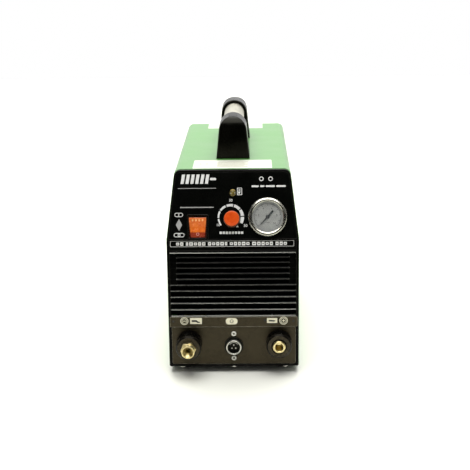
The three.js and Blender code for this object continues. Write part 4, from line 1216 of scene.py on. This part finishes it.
def make_output_contact():
    """Brass twist-lock socket with a key in its bore."""
    at = on_front(*OUTPUT)
    shape = new_shape()
    profile = fillet([(4.5, -2.0), (4.5, 18.2, 0.4), (5.0, 18.8, 0.3), (6.6, 18.8, 0.5),
                      (7.25, 18.1, 0.4), (7.25, -8.0), (4.5, -8.0)], 4)
    add_lathe(shape, profile, at, closed=True)
    add_tube(shape, 0, 4.8, -8.0, -2.0, at, 48)
    add_tube(shape, 0, 4.0, -24.0, -8.0, at, 32)
    add_plate(shape, [rectangle(-1.9, 1.9, 2.7, 5.0, 0.3, 3)], 10.8, 18.2, at, edge=0.25)
    piece("output_contact", BRASS, shape, ["output_socket"])


def make_control_shell():
    """Bright ring of the control socket, keyed on its top, on a dark flange."""
    at = on_front(*CONTROL)
    ring = new_shape()
    add_turned(ring, [(7.3, 1.0), (7.3, 5.2, 0.3), (7.7, 6.0, 0.4), (8.9, 6.0, 0.5), (8.9, 1.0)],
               at, closed=True)
    add_plate(ring, [arc_band(5.3, 5.95, 32, 148)], 2.6, 3.6, at, edge=0.2)
    piece("control_ring", NICKEL, ring, ["control_socket_shell"])
    flange = new_shape()
    add_turned(flange, [(6.1, 1.2), (6.1, 4.6, 0.5), (7.3, 5.0, 0.2), (7.3, 1.2), (11.2, 1.2, 0.4),
                        (11.2, -0.5), (8.0, -0.5), (8.0, -14.0), (5.5, -14.0), (5.5, 1.2)],
               at, closed=True)
    piece("control_flange", BLACK, flange)


def make_control_insert():
    """Keyed core of the control socket with three pins."""
    at = on_front(*CONTROL)
    core = new_shape()
    add_plate(core, [core_outline(5.2)], -13.0, -0.4, at)
    add_plate(core, [core_outline(4.6)], -1.0, 3.2, at, edge=0.35)
    piece("control_core", BLACK, core, ["control_socket_insert"])
    pins = new_shape()
    for index in range(3):
        angle = index * 2 * math.pi / 3 + math.pi / 2
        x, y = 2.6 * math.cos(angle), 2.6 * math.sin(angle)
        add_rod(pins, (x, y, -1.0), (x, y, 4.6), 0.85, at, 20, 0.4)
    piece("control_pins", NICKEL, pins)


def core_outline(radius):
    """A disc with a keyway notch on each side of the top."""
    points = []
    for index in range(72):
        angle = 2 * math.pi * index / 72
        notch = any(abs(angle - middle) < 0.22 for middle in (0.9, math.pi - 0.9, 1.5 * math.pi))
        reach = radius - 1.3 if notch else radius
        points.append((reach * math.cos(angle), reach * math.sin(angle), 0.0))
    return points


def make_rivets():
    """Blind rivets, each with the end of its mandrel inside, in black as painted shade in the rivet's
    hole.
    """
    mandrels = new_shape()
    for name, side in (("upper", 1), ("lower", -1)):
        at = on_front(CONTROL[0], CONTROL[1] + side * RIVET_OFFSET)
        add_rod(mandrels, (0, 0, -5.0), (0, 0, 0.3), 1.15, at)
        shape = new_shape()
        add_turned(shape, [(1.2, -6.0), (1.2, 0.4, 0.2), (1.7, 0.9, 0.3), (2.4, 0.8, 0.5),
                           (3.05, -0.2, 0.3), (3.05, -0.5), (1.5, -0.5), (1.5, -6.0)],
                   at, 48, closed=True)
        piece(f"rivet_{name}", TIN, shape, [f"socket_rivet_{name}"])
    # Black mandrel ends: painted shade in the rivets' holes.
    piece("rivet_mandrels", BLACK, mandrels)


# ---- Panel instruments ----


def make_rocker_frame():
    at = on_panel(*ROCKER)
    shape = new_shape()
    well = rectangle(-10.2, 10.2, -12.8, 12.8, 0.6, 4)
    add_plate(shape, [rectangle(-12.2, 12.2, -14.8, 14.8, 1.4), well], 0.1, 2.0, at, edge=0.5)
    add_plate(shape, [rectangle(-11.0, 11.0, -13.6, 13.6, 0.8, 4), well], -19.0, 0.4, at, edge=0)
    add_plate(shape, [rectangle(-11.0, 11.0, -13.6, 13.6, 0.8, 4)], -20.0, -19.0, at, edge=0.2)
    for x in (-6, 6):
        for y in (-8, 8):
            add_plate(shape, [rectangle(x - 0.4, x + 0.4, y - 3, y + 3)], -30.0, -20.0, at, edge=0.1)
    piece("rocker_frame", BLACK, shape, ["rocker_housing"])


def rocker_look():
    """Orange, lighter above the middle as a painted highlight, with painted shade: dark red on the
    pressed end and towards its sides.
    """
    look = Look("rocker_plastic", {"Specular IOR Level": 0.6, "Coat Weight": 0.3})
    place = look.add("ShaderNodeSeparateXYZ", {"Vector": look.place}).outputs
    break_z = (SHOULDER_Z + (ROCKER[1] - 5.2) * math.cos(PANEL_TILT)) * MM
    # Painted light: the upper half is the lit side and the pressed lower end lies in shade.
    lit_half = look.spread(place["Z"], 0.0, 1.0, break_z - 0.0006, break_z + 0.0006)
    # Painted shade towards the sides, widening down the pressed end.
    off_centre = look.maths("ABSOLUTE", look.maths("SUBTRACT", place["X"], ROCKER[0] * MM), 0.0)
    depth = look.maths("MULTIPLY", look.maths("SUBTRACT", break_z + 0.014, place["Z"]), 0.11)
    side = look.spread(look.maths("ADD", off_centre, depth), 0.0, 1.0, 0.0094, 0.0104)
    cloud = look.spread(look.noise(4.0, 3.0), 0.0, 1.0)
    # Lit and shaded tones of the same orange plastic.
    upper = look.blend(cloud, (0.72, 0.11, 0.012, 1), (0.90, 0.22, 0.03, 1))
    lower = look.blend(cloud, (0.24, 0.028, 0.012, 1), (0.36, 0.05, 0.018, 1))
    look.set(look.shader, {
        "Base Color": look.blend(side, look.blend(lit_half, lower, upper), (0.05, 0.006, 0.003, 1)),
        "Roughness": look.spread(look.noise(2.0), 0.16, 0.3),
        "Normal": look.bump(look.noise(0.4), 0.006),
    })
    return look.material


def make_rocker():
    """Rocker cap with a dished face, finger ribs at its upper end and an off ring below."""
    section = fillet([
        (-11.5, 4.2, 0.8), (-9.6, -4.0, 0.5), (-4.0, -6.0, 1.0), (4.0, -6.0, 1.0),
        (9.6, -4.0, 0.5), (12.1, 4.2, 0.8), (0.0, 1.7, 14.0),
    ])
    tilt = on_panel(*ROCKER) @ Matrix.Rotation(ROCKER_TILT, 4, "X")
    along = tilt @ Matrix(((0, 0, 1, 0), (1, 0, 0, 0), (0, 1, 0, 0), (0, 0, 0, 1)))
    shape = new_shape()
    add_plate(shape, [section], -9.9, 9.9, along, edge=0.6, steps=4)
    piece("rocker_cap", rocker_look(), shape, ["power_rocker"], body="rocker")
    ribs = new_shape()
    for index in range(4):
        x = -5.7 + index * 3.8
        add_rod(ribs, (x, 7.6, 2.95), (x, 10.4, 3.6), 1.0, tilt, 16, 0.6)
    # The ribs' pale orange is a painted highlight on the rocker's plastic.
    bright = surface("rocker_ribs_highlight", (0.95, 0.38, 0.08), (1.0, 0.62, 0.26), (0.2, 0.3), grain=0.3)
    piece("rocker_grip_ribs", bright, ribs, body="rocker")
    ring = new_shape()
    face = tilt @ Matrix.Translation((0, -7.4, 3.33)) @ Matrix.Rotation(math.radians(-12.3), 4, "X")
    add_plate(ring, [circle(1.7, count=40), circle(1.2, count=40)], 0.0, 0.12, face, edge=0)
    piece("rocker_off_mark", printed("rocker_ink", (0.75, 0.35, 0.28)), ring, body="rocker")


def fluted(count, depth):
    def wave(angle, radius, height):
        return radius - depth * (0.5 + 0.5 * math.cos(count * angle)) ** 3
    return wave


def make_knob():
    at = on_panel(*KNOB)
    body = new_shape()
    profile = fillet([
        (3.3, 1.4), (9.8, 1.4, 0.3), (9.8, 3.2, 0.8), (9.35, 4.3, 0.6), (9.05, 12.6, 0.5),
        (8.0, 13.0), (3.3, 13.0),
    ], 5)
    add_lathe(body, profile, at, 144, closed=True, wave=fluted(24, 0.28))
    piece("knob_grip", BROWN, body, ["knob_body"], body="knob")
    cap = new_shape()
    add_turned(cap, [(0, 13.05), (8.5, 13.05, 0.2), (8.7, 14.4, 0.5), (7.9, 15.25, 0.5),
                     (6.6, 15.3, 0.6), (5.4, 15.0, 2.0), (0, 14.85)], at, 96, 6)
    piece("knob_disc", ORANGE, cap, ["knob_cap"], body="knob")


def make_lamp():
    at = on_panel(*LAMP)
    ring = new_shape()
    add_turned(ring, [(2.6, -8.0), (3.0, -8.0), (3.0, 0.1), (4.0, 0.1, 0.1), (3.8, 0.9, 0.4),
                      (2.95, 1.3, 0.2), (2.6, 1.0, 0.2)], at, 64, closed=True)
    piece("lamp_ring", OLD_BRASS, ring, ["led_bezel"])
    lens = new_shape()
    dome = [(0, -7.0), (2.3, -7.0), (2.3, 0.6)]
    for step in range(1, 9):
        angle = step / 8 * math.pi / 2
        dome.append((2.3 * math.cos(angle), 0.6 + 1.1 * math.sin(angle)))
    dome[-1] = (0, 1.7)
    add_lathe(lens, dome, at, 48)
    piece("lamp_lens", LAMP_LENS, lens, ["led_lens"])


def make_gauge():
    at = on_panel(*GAUGE)
    can = new_shape()
    add_turned(can, [(0, -34), (4, -34), (4, -26), (20, -26, 1.5), (20, 4), (18.5, 4), (18.5, -24),
                     (0, -24)], at, 96, 5)
    piece("gauge_can", BLACK, can, ["gauge_case"])
    rim = new_shape()
    add_turned(rim, [(20.4, 0.1), (22.5, 0.1, 0.2), (22.5, 3.6, 1.6), (21.4, 6.0, 1.6),
                     (19.6, 6.6, 1.0), (18.5, 6.2, 0.6), (17.7, 5.5, 0.2), (18.0, 5.35),
                     (20.4, 5.35)], at, 160, 7, closed=True)
    piece("gauge_rim", POLISHED, rim, ["gauge_ring"])
    face = new_shape()
    add_plate(face, [circle(18.2, count=96), circle(1.1, count=24)], DIAL_FACE - 0.6, DIAL_FACE, at,
              edge=0.1)
    piece("gauge_face", DIAL, face, ["gauge_dial"])
    make_gauge_marks(at)
    window = new_shape()
    add_turned(window, [(0, 4.3), (19.9, 4.3, 0.2), (19.9, 5.3, 0.2), (0, 5.3)], at, 96, 3)
    piece("gauge_window", GLASS, window, ["gauge_lens"])


def make_gauge_marks(at):
    """Graduations from 0 to 10 round three quarters of the dial."""
    marks = new_shape()
    low, high = DIAL_FACE, DIAL_FACE + 0.06
    rim = arc_band(15.3, 15.6, DIAL_START - DIAL_SWEEP, DIAL_START, steps=72)
    add_plate(marks, [rim], low, high, at, edge=0)
    for index in range(51):
        angle = math.radians(DIAL_START - index * DIAL_SWEEP / 50)
        inner = 12.9 if index % 5 == 0 else 14.2
        half = 0.22 if index % 5 == 0 else 0.1
        out = Vector((math.cos(angle), math.sin(angle)))
        side = Vector((-out.y, out.x)) * half
        corners = [out * inner - side, out * 15.4 - side, out * 15.4 + side, out * inner + side]
        add_plate(marks, [[(c.x, c.y, 0.0) for c in corners]], low, high, at, edge=0)
    for index in range(6):
        angle = math.radians(DIAL_START - index * DIAL_SWEEP / 5)
        text_outline(marks, str(index * 2), 3.4, 10.6 * math.cos(angle), 10.6 * math.sin(angle),
                     low, high, at)
    add_plate(marks, [arc_band(6.5, 6.8, 250, 290, steps=12)], low, high, at, edge=0)
    piece("gauge_marks", printed("dial_ink", (0.035, 0.035, 0.04)), marks)


def make_needle():
    at = on_panel(*GAUGE) @ Matrix.Rotation(NEEDLE_ANGLE, 4, "Z")
    shape = new_shape()
    blade = fillet([(-9.5, -1.1, 0.3), (0, -1.2), (12.6, -0.3, 0.1), (12.6, 0.3, 0.1), (0, 1.2),
                    (-9.5, 1.1, 0.3)], 3)
    add_plate(shape, [blade], 2.9, 3.5, at, edge=0.12)
    add_turned(shape, [(0, 2.6), (2.2, 2.6, 0.2), (2.2, 3.6, 0.5), (0, 3.9)], at, 48)
    add_tube(shape, 0, 0.7, 0, 2.7, at, 16)
    piece("gauge_pointer", NEEDLE, shape, ["gauge_needle"], body="needle")


# ---- Handle and feet ----


def post_outline():
    """Post seen from the front: straight leaning sides that run into a round top."""
    foot = TOP_Z + 0.1
    rise = HANDLE_Z - foot
    reach = math.hypot(POST_BASE_HALF, rise)
    tangent = math.atan2(rise, POST_BASE_HALF) - math.acos(POST_TOP_RADIUS / reach)
    start = -tangent
    points = [(-POST_BASE_HALF, foot, 0.0), (POST_BASE_HALF, foot, 0.0)]
    steps = 40
    for step in range(steps + 1):
        angle = start + (math.pi - 2 * start) * step / steps
        points.append((POST_TOP_RADIUS * math.cos(angle), HANDLE_Z + POST_TOP_RADIUS * math.sin(angle),
                       0.0))
    return points


def brow_cutter(face, inwards):
    """Rounds off the top of a post's outer face, which lies at y = face."""
    radius, foot = 14.0, 276.5
    corners = [(face - inwards * 5, foot), (face, foot)]
    for step in range(1, 13):
        angle = math.radians(75) * step / 12
        reach = radius * (1 - math.cos(angle))
        corners.append((face + inwards * reach, foot + radius * math.sin(angle)))
    corners += [(corners[-1][0], 300.0), (face - inwards * 5, 300.0)]
    shape = new_shape()
    add_plate(shape, [fillet(corners)], -30, 30, across_unit(), edge=0)
    return shape


def make_handle():
    """Two posts, each rounded off at the top of its outer face, with a socket for the tube."""
    for name, front, mouth in (("front", POST_FRONTS[0], 1), ("rear", POST_FRONTS[1], -1)):
        low, high = front, front + POST_DEPTH
        shape = new_shape()
        add_plate(shape, [post_outline()], low, high, on_back(), edge=1.6, steps=6)
        outer_face, open_end = (low, high) if mouth > 0 else (high, low)
        ends = sorted((open_end - mouth * SOCKET_DEPTH, open_end + mouth * 5.0))
        socket = new_shape()
        add_tube(socket, 0, TUBE_RADIUS + 0.25, *ends, on_back(0, HANDLE_Z))
        shape = subtract(shape, socket)
        shape = subtract(shape, brow_cutter(outer_face, mouth))
        piece(f"post_{name}", BLACK, shape, [f"handle_post_{name}"], bevel=0.35,
              sharp=30)
    tube = new_shape()
    inserted = SOCKET_DEPTH - 0.3
    start, end = POST_FRONTS[0] + POST_DEPTH - inserted, POST_FRONTS[1] + inserted
    bore = TUBE_RADIUS - TUBE_WALL
    add_turned(tube, [(TUBE_RADIUS, start, 0.3), (TUBE_RADIUS, end, 0.3), (bore, end, 0.3),
                      (bore, start, 0.3)],
               on_back(0, HANDLE_Z), 96, 3, closed=True)
    piece("handle_bar", TUBE, tube, ["handle_tube"])


def make_feet():
    for end, y in zip(("front", "rear"), FOOT_YS):
        for side, x in (("left", -FOOT_X), ("right", FOOT_X)):
            shape = new_shape()
            add_turned(shape, [(0, 0), (8.6, 0, 0.9), (9.5, 1.2, 0.8), (10, 7.7, 0.3), (0, 7.7)],
                       on_top(x, y), 64, 5)
            piece(f"rubber_foot_{end}_{side}", RUBBER, shape, [f"foot_{end}_{side}"])


def make_underside_screws():
    for name, side in (("left", -1), ("middle", 0), ("right", 1)):
        place = (side * UNDERSIDE_SCREW_X, FRONT_Y + UNDERSIDE_SCREW_Y, 0)
        at = axes(place, RIGHT, -BACKWARD, -UP)
        head = new_shape()
        add_turned(head, [(0, -7.7), (3.2, -7.7, 0.1), (3.2, -6.0, 0.5), (2.3, -5.5, 0.6),
                          (0, -5.5)], at, 48, 5)
        tool = new_shape()
        cross_cutter(tool, 1.5, -5.6, at)
        piece(f"screw_{name}", NICKEL, subtract(head, tool), [f"underside_screw_{name}"])


# ---- Back ----


def make_rear_panel():
    holes = [circle(43.0, 0.0, FAN_Z, 96)]
    for (x, z), radius in ((GLAND, 10.0), (AIR_INLET, 5.4), (REGULATOR, 10.0), (EARTH, 3.4)):
        holes.append(circle(radius, -x, z, 48))
    shape = new_shape()
    add_plate(shape, [housing_outline(SKIRT_INSET, SKIRT_BOTTOM)] + holes, REAR_PANEL_Y,
              REAR_PANEL_Y + SHEET, on_back(), edge=0.25)
    piece("back_plate", BLACK_PAINT, shape, ["rear_panel"])
    heads = new_shape()
    tool = new_shape()
    for x, z in ((-68, 18), (68, 18), (-68, 150), (68, 150), (-50, 229), (50, 229)):
        at = on_back(x, z)
        add_pan_head(heads, 3.2, BACK_FACE + 0.7, at)
        cross_cutter(tool, 1.7, BACK_FACE + 1.2, at)
    piece("back_screws", NICKEL, subtract(heads, tool))


def make_fan_guard():
    """Concentric wires on four spokes that end in eyes."""
    at = on_back(0, FAN_Z)
    height = BACK_FACE + 0.9
    shape = new_shape()
    for radius in (44.5, 37.5, 30.5, 23.5, 16.5, 9.5):
        add_torus(shape, radius, 0.95, BACK_FACE + 1.0, at)
    for angle in DIAGONALS:
        x, y = math.cos(angle), math.sin(angle)
        add_rod(shape, (9.5 * x, 9.5 * y, height), (51.5 * x, 51.5 * y, height), 0.9, at, 16)
        eye = at @ Matrix.Translation((51.4 * x, 51.4 * y, 0))
        add_torus(shape, 2.4, 0.9, height, eye, 32)
    piece("fan_wire_guard", NICKEL, shape, ["fan_guard"])


def make_fan_frame():
    """Two square flanges joined by a round duct, and a hub on four struts."""
    at = on_back(0, FAN_Z)
    shape = new_shape()
    outline = [rectangle(-46, 46, -46, 46, 4), circle(FAN_BORE, count=96)]
    outline += [circle(2.2, 41.25 * x, 41.25 * y, 24) for x in (-1, 1) for y in (-1, 1)]
    for low in (FAN_FRONT, FAN_BACK - FAN_FLANGE):
        add_plate(shape, outline, low, low + FAN_FLANGE, at, edge=0.5)
    add_tube(shape, FAN_BORE, FAN_BORE + 1.8, FAN_FRONT + 3.0, FAN_BACK - 3.0, at)
    hub_back = FAN_FRONT + FAN_FLANGE
    add_turned(shape, [(0, FAN_FRONT), (17, FAN_FRONT, 0.8), (17, hub_back, 0.5), (0, hub_back)],
               at, 64)
    for angle in DIAGONALS:
        strut = at @ Matrix.Rotation(angle, 4, "Z")
        add_plate(shape, [rectangle(15, 44, -2.4, 2.4)], 324.1, 327.0, strut, edge=0.4)
    piece("fan_shroud", BLACK, shape, ["fan_frame"])


def make_fan_rotor():
    at = on_back(0, FAN_Z)
    shape = new_shape()
    add_turned(shape, [(0, 329), (18, 329, 1.0), (18, 347, 1.5), (16.0, 347), (0, 346.6)],
               at, 72, 5)
    for index in range(7):
        add_blade(shape, at @ Matrix.Rotation(index * 2 * math.pi / 7, 4, "Z"))
    piece("fan_blades", BLACK, shape, ["fan_rotor"], body="fan")


def blade_spot(side, span, step):
    """A point of the blade, span along it and step across it, both from 0 to 1."""
    radius = 17.0 + 24.6 * span
    pitch = math.radians(48 - 16 * span)
    along = (step - 0.5) * (13.0 + 4.5 * span)
    bulge = 1 - (2 * step - 1) ** 2
    lift = 1.8 * bulge + side * (0.55 * math.sqrt(bulge) + 0.12)
    turn = (along * math.cos(pitch) - lift * math.sin(pitch)) / radius
    height = 338.0 + along * math.sin(pitch) + lift * math.cos(pitch)
    return (radius * math.cos(turn), radius * math.sin(turn), height)


def add_blade(shape, at, spans=10, chords=8):
    """A twisted blade with a thin cambered section, wrapped round the hub's axis."""
    grid = {}
    for side in (-1, 1):
        for span in range(spans + 1):
            for step in range(chords + 1):
                spot = blade_spot(side, span / spans, step / chords)
                grid[side, span, step] = vertex(shape, at, spot)

    def close(flip, *keys):
        corners = [grid[key] for key in keys]
        shape.faces.new(corners[::-1] if flip else corners)

    for span in range(spans):
        after = span + 1
        for step in range(chords):
            for side in (-1, 1):
                close(side < 0, (side, span, step), (side, after, step), (side, after, step + 1),
                      (side, span, step + 1))
    for span in range(spans):
        after = span + 1
        for step in (0, chords):
            close(step == 0, (-1, span, step), (1, span, step), (1, after, step), (-1, after, step))
    for step in range(chords):
        after = step + 1
        for span in (0, spans):
            close(span == 0, (-1, span, step), (-1, span, after), (1, span, after), (1, span, step))


def make_gland():
    at = on_back(*GLAND)
    shape = new_shape()
    add_turned(shape, [(5.5, 344), (9.6, 344), (9.6, 360.5), (11.8, 357.5, 0.3),
                       (11.8, 366.0, 2.0), (8.0, 373.4, 1.2), (6.4, 373.5, 0.4),
                       (5.5, 372.5, 0.3)], at, 96, 5, closed=True, wave=gland_wave)
    for low, high in ((BACK_FACE, 358.4), (345.0, 350.7)):
        add_plate(shape, [polygon(24 / math.sqrt(3), 6, math.pi / 6, 0.8), circle(9.5)], low, high,
                  at, edge=0.6)
    piece("mains_gland", BLACK, shape, ["cable_gland"])
    seal = new_shape()
    add_turned(seal, [(5.5, 360.0), (6.2, 360.0), (6.2, 372.2, 0.3), (5.5, 372.2, 0.3)],
               at, 48, 3, closed=True)
    piece("mains_gland_seal", RUBBER, seal)


def gland_wave(angle, radius, height):
    """Grip ribs round the dome nut."""
    if radius < 10.5 or height < 358.5:
        return radius
    return radius - 0.5 * (0.5 + 0.5 * math.cos(18 * angle))


def make_air_inlet():
    at = on_back(*AIR_INLET)
    shape = new_shape()
    add_plate(shape, [polygon(17 / math.sqrt(3), 6, math.pi / 6, 0.5), circle(4.0, count=48)],
              BACK_FACE, BACK_FACE + 6.0, at, edge=0.5)
    profile = [(2.4, 338.0), (5.0, 338.0), (5.0, 353.0), (4.0, 353.0)]
    for index in range(3):
        y = 362.5 + index * 4.4
        profile += fillet([(4.0, y), (5.4, y, 0.2), (4.2, y + 4.2)], 3, closed=False)
    profile += [(4.0, 375.0), (3.4, 375.5), (2.4, 375.5)]
    add_lathe(shape, profile, at, 64, closed=True)
    piece("air_barb", BRASS, shape, ["air_inlet"])


def make_regulator():
    at = on_back(*REGULATOR)
    block = new_shape()
    add_plate(block, [rectangle(-18, 18, -18, 18, 3)], 308.0, 348.0, at, edge=1.0)
    neck = [(0, 347.0)] + threaded(9.4, 347.0, 359.5) + [(8.6, 360.0), (0, 360.0)]
    add_lathe(block, neck, at, 64, wave=thread(1.5, 0.5, 348.5, 359.0))
    piece("regulator_block", ALUMINIUM, block, ["regulator_body"])
    knob = new_shape()
    profile = fillet([
        (9.8, 353.2),
        (14.6, 353.2, 0.6),
        (15.0, 357.0, 0.5),
        (15.0, 376.5, 1.2),
        (13.6, REGULATOR_FACE, 1.4),
        (4.0, REGULATOR_FACE, 0.5),
        (3.4, REGULATOR_FACE - 0.5),
        (0, REGULATOR_FACE - 0.5),
        (0, 361.2),
        (9.8, 361.2),
    ], 5, closed=False)
    add_lathe(knob, profile + profile[:1], at, 180, wave=regulator_wave)
    piece("regulator_grip", BLACK, knob, ["regulator_knob"], body="regulator")
    mark = new_shape()
    for index in range(3):
        start = 60 + index * 34
        add_print(mark, at, REGULATOR_FACE, arc_band(9.0, 10.2, start, start + 26, steps=8))
    piece("regulator_mark", GREY_INK, mark, body="regulator")


def regulator_wave(angle, radius, height):
    """Grip flutes round the knob's wall."""
    if radius < 14.0 or not 357.5 < height < 376.5:
        return radius
    return radius + 0.3 - 0.75 * (0.5 + 0.5 * math.cos(24 * angle)) ** 2


def make_earth_terminal():
    at = on_back(*EARTH)
    shape = new_shape()
    add_lathe(shape, [(0, 340.0)] + threaded(3.0, 340.0, 366.0, 0.2) + [(2.4, 366.5), (0, 366.5)],
              at, 40, wave=thread(1.0, 0.35, 340.5, 366.0))
    for low, high in ((354.0, 357.0), (344.0, 350.0)):
        add_plate(shape, [polygon(10 / math.sqrt(3), 6, 0.0, 0.4), circle(2.6, count=24)], low, high,
                  at, edge=0.4)
    add_turned(shape, [(3.2, 352.6), (6.2, 352.6, 0.2), (6.2, 353.8, 0.2), (3.2, 353.8)],
               at, 48, 3, closed=True)
    piece("earth_terminal", BRASS, shape, ["earth_stud"])


# ---- Inside, on the CAD's own solids ----

CAD_LOOKS = {
    "base_tray": (BLACK_PAINT, "black_paint"),
    "potentiometer": (NICKEL, "nickel_steel"),
    "potentiometer_shaft": (NICKEL, "nickel_steel"),
    "heatsink": (ALUMINIUM, "aluminium"),
    "main_board": (BOARD, "circuit_board"),
    "control_board": (BOARD, "circuit_board"),
    "transformer_core": (FERRITE, "ferrite"),
    "transformer_winding": (COPPER, "copper_wire"),
    "output_inductor": (COPPER, "copper_wire"),
    "bulk_capacitor": (SLEEVE, "capacitor_sleeve"),
    "solenoid_valve": (BRASS, "brass"),
    "solenoid_coil": (BLACK, "black_plastic"),
    "solenoid_plunger": (NICKEL, "nickel_steel"),
    "supply_hose": (HOSE, "air_hose"),
    "valve_hose": (HOSE, "air_hose"),
    "torch_hose": (HOSE, "air_hose"),
    "gauge_line": (GAUGE_TUBE, "gauge_tube"),
}


def dress_cad_nodes():
    """Gives the CAD solids that stay their finish, and welds their split vertices."""
    for name, (look, slot) in CAD_LOOKS.items():
        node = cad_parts[name]
        node.data.materials.clear()
        node.data.materials.append(look)
        weld = node.modifiers.new("weld", "WELD")
        weld.merge_threshold = 1e-6


# ---- Stage ----


def make_camera():
    pitch, yaw, roll = (math.radians(a) for a in (CAMERA_PITCH, CAMERA_YAW, CAMERA_ROLL))
    level = Vector((math.cos(yaw), math.sin(yaw), 0))
    ahead = Vector((-math.sin(yaw) * math.cos(pitch), math.cos(yaw) * math.cos(pitch),
                    -math.sin(pitch)))
    above = level.cross(ahead)
    right = math.cos(roll) * level + math.sin(roll) * above
    up = math.cos(roll) * above - math.sin(roll) * level
    data = bpy.data.cameras.new("camera")
    data.lens = CAMERA_LENS
    data.sensor_width = CAMERA_SENSOR
    data.clip_start = 0.05
    camera = bpy.data.objects.new("camera", data)
    turn = Matrix((right, up, -ahead)).transposed().to_4x4()
    camera.matrix_world = Matrix.Translation(CAMERA_PLACE) @ turn
    SCENE.collection.objects.link(camera)
    SCENE.camera = camera


def make_floor():
    """Pale table with its far edge behind the unit, and a dark card that only reflections see."""
    floor = level_sheet("floor", (-1.8, 1.8), (-1.0, 2.7), 0.0)
    look = Look("floor", {"Roughness": 0.9, "Specular IOR Level": 0.1})
    cloud = look.spread(look.noise(300.0, 2.0), 0.0, 1.0)
    look.set(look.shader, {
        "Base Color": look.blend(cloud, (0.93, 0.94, 0.85, 1), (0.95, 0.95, 0.87, 1)),
    })
    floor.data.materials.append(look.material)
    card = level_sheet("reflection_card", (-4.0, 4.0), (-5.0, -0.43), 0.002)
    card.data.materials.append(surface("card", (0.002, 0.002, 0.002), (0.004, 0.004, 0.004),
                                       (0.9, 1.0), values={"Specular IOR Level": 0.0}))
    card.visible_camera = False
    card.visible_diffuse = False
    card.visible_shadow = False
    card.visible_transmission = False


def level_sheet(name, across, along, height):
    mesh = bpy.data.meshes.new(name)
    corners = [(across[0], along[0]), (across[1], along[0]), (across[1], along[1]),
               (across[0], along[1])]
    mesh.from_pydata([(x, y, height) for x, y in corners], [], [(0, 1, 2, 3)])
    sheet = bpy.data.objects.new(name, mesh)
    SCENE.collection.objects.link(sheet)
    return sheet


def area_light(name, place, target, size, power, glossy=True):
    data = bpy.data.lights.new(name, "AREA")
    data.shape = "RECTANGLE"
    data.size, data.size_y = size
    data.energy = power
    light = bpy.data.objects.new(name, data)
    light.location = place
    light.rotation_euler = (Vector(target) - Vector(place)).to_track_quat("-Z", "Y").to_euler()
    light.visible_glossy = glossy
    light.visible_camera = False
    SCENE.collection.objects.link(light)


def make_lights():
    area_light("top_softbox", (0.0, 0.2, 1.9), (0, 0.2, 0), (1.9, 3.6), 82.0)
    area_light("back_softbox", (0.0, 3.0, 2.4), (0, 2.6, 0), (7.0, 2.4), 120.0, glossy=False)
    area_light("front_fill", (0.0, -1.8, 1.0), (0, 0, 0.12), (1.6, 0.8), 1.5, glossy=False)


def make_world():
    """White to the eye, dim as a light, and dark in front where it is reflected."""
    world = bpy.data.worlds.new("studio")
    world.use_nodes = True
    world.node_tree.nodes.clear()
    nodes = Nodes(world.node_tree)

    def glow(strength):
        values = {"Color": (1, 1, 1, 1), "Strength": strength}
        return nodes.add("ShaderNodeBackground", values).outputs[0]

    def either(factor, first, second):
        return nodes.add("ShaderNodeMixShader", {0: factor, 1: first, 2: second}).outputs[0]

    towards = nodes.add("ShaderNodeTexCoord").outputs["Generated"]
    backward = nodes.add("ShaderNodeSeparateXYZ", {0: towards}).outputs["Y"]
    reflected = nodes.add("ShaderNodeMapRange", {
        "Value": backward, "From Min": -0.2, "From Max": 0.6, "To Min": 0.01, "To Max": 1.0,
    }).outputs["Result"]
    ray = nodes.add("ShaderNodeLightPath").outputs
    lighting = either(ray["Is Glossy Ray"], glow(0.12), glow(reflected))
    seen = either(ray["Is Camera Ray"], lighting, glow(1.0))
    nodes.add("ShaderNodeOutputWorld", {"Surface": seen})
    SCENE.world = world


make_camera()
make_cover()
make_cover_screws()
make_top_labels()
make_bezel_frame()
make_nose()
make_slats()
make_cheeks()
make_louvre_shade()
make_overlay()
make_panel_print()
make_nose_print()
make_strip()
make_strip_labels()
make_strip_marks()
make_connector_plate()
make_collar("torch_collar", "torch_boss", TORCH, 21.5, 6.3)
make_collar("output_collar", "output_boss", OUTPUT, 16.4, 7.55)
make_torch_fitting()
make_output_contact()
make_control_shell()
make_control_insert()
make_rivets()
make_rocker_frame()
make_rocker()
make_knob()
make_lamp()
make_gauge()
make_needle()
make_handle()
make_feet()
make_underside_screws()
make_rear_panel()
make_fan_guard()
make_fan_frame()
make_fan_rotor()
make_gland()
make_air_inlet()
make_regulator()
make_earth_terminal()
dress_cad_nodes()
make_floor()
make_lights()
make_world()
SCENE.view_settings.view_transform = "Standard"
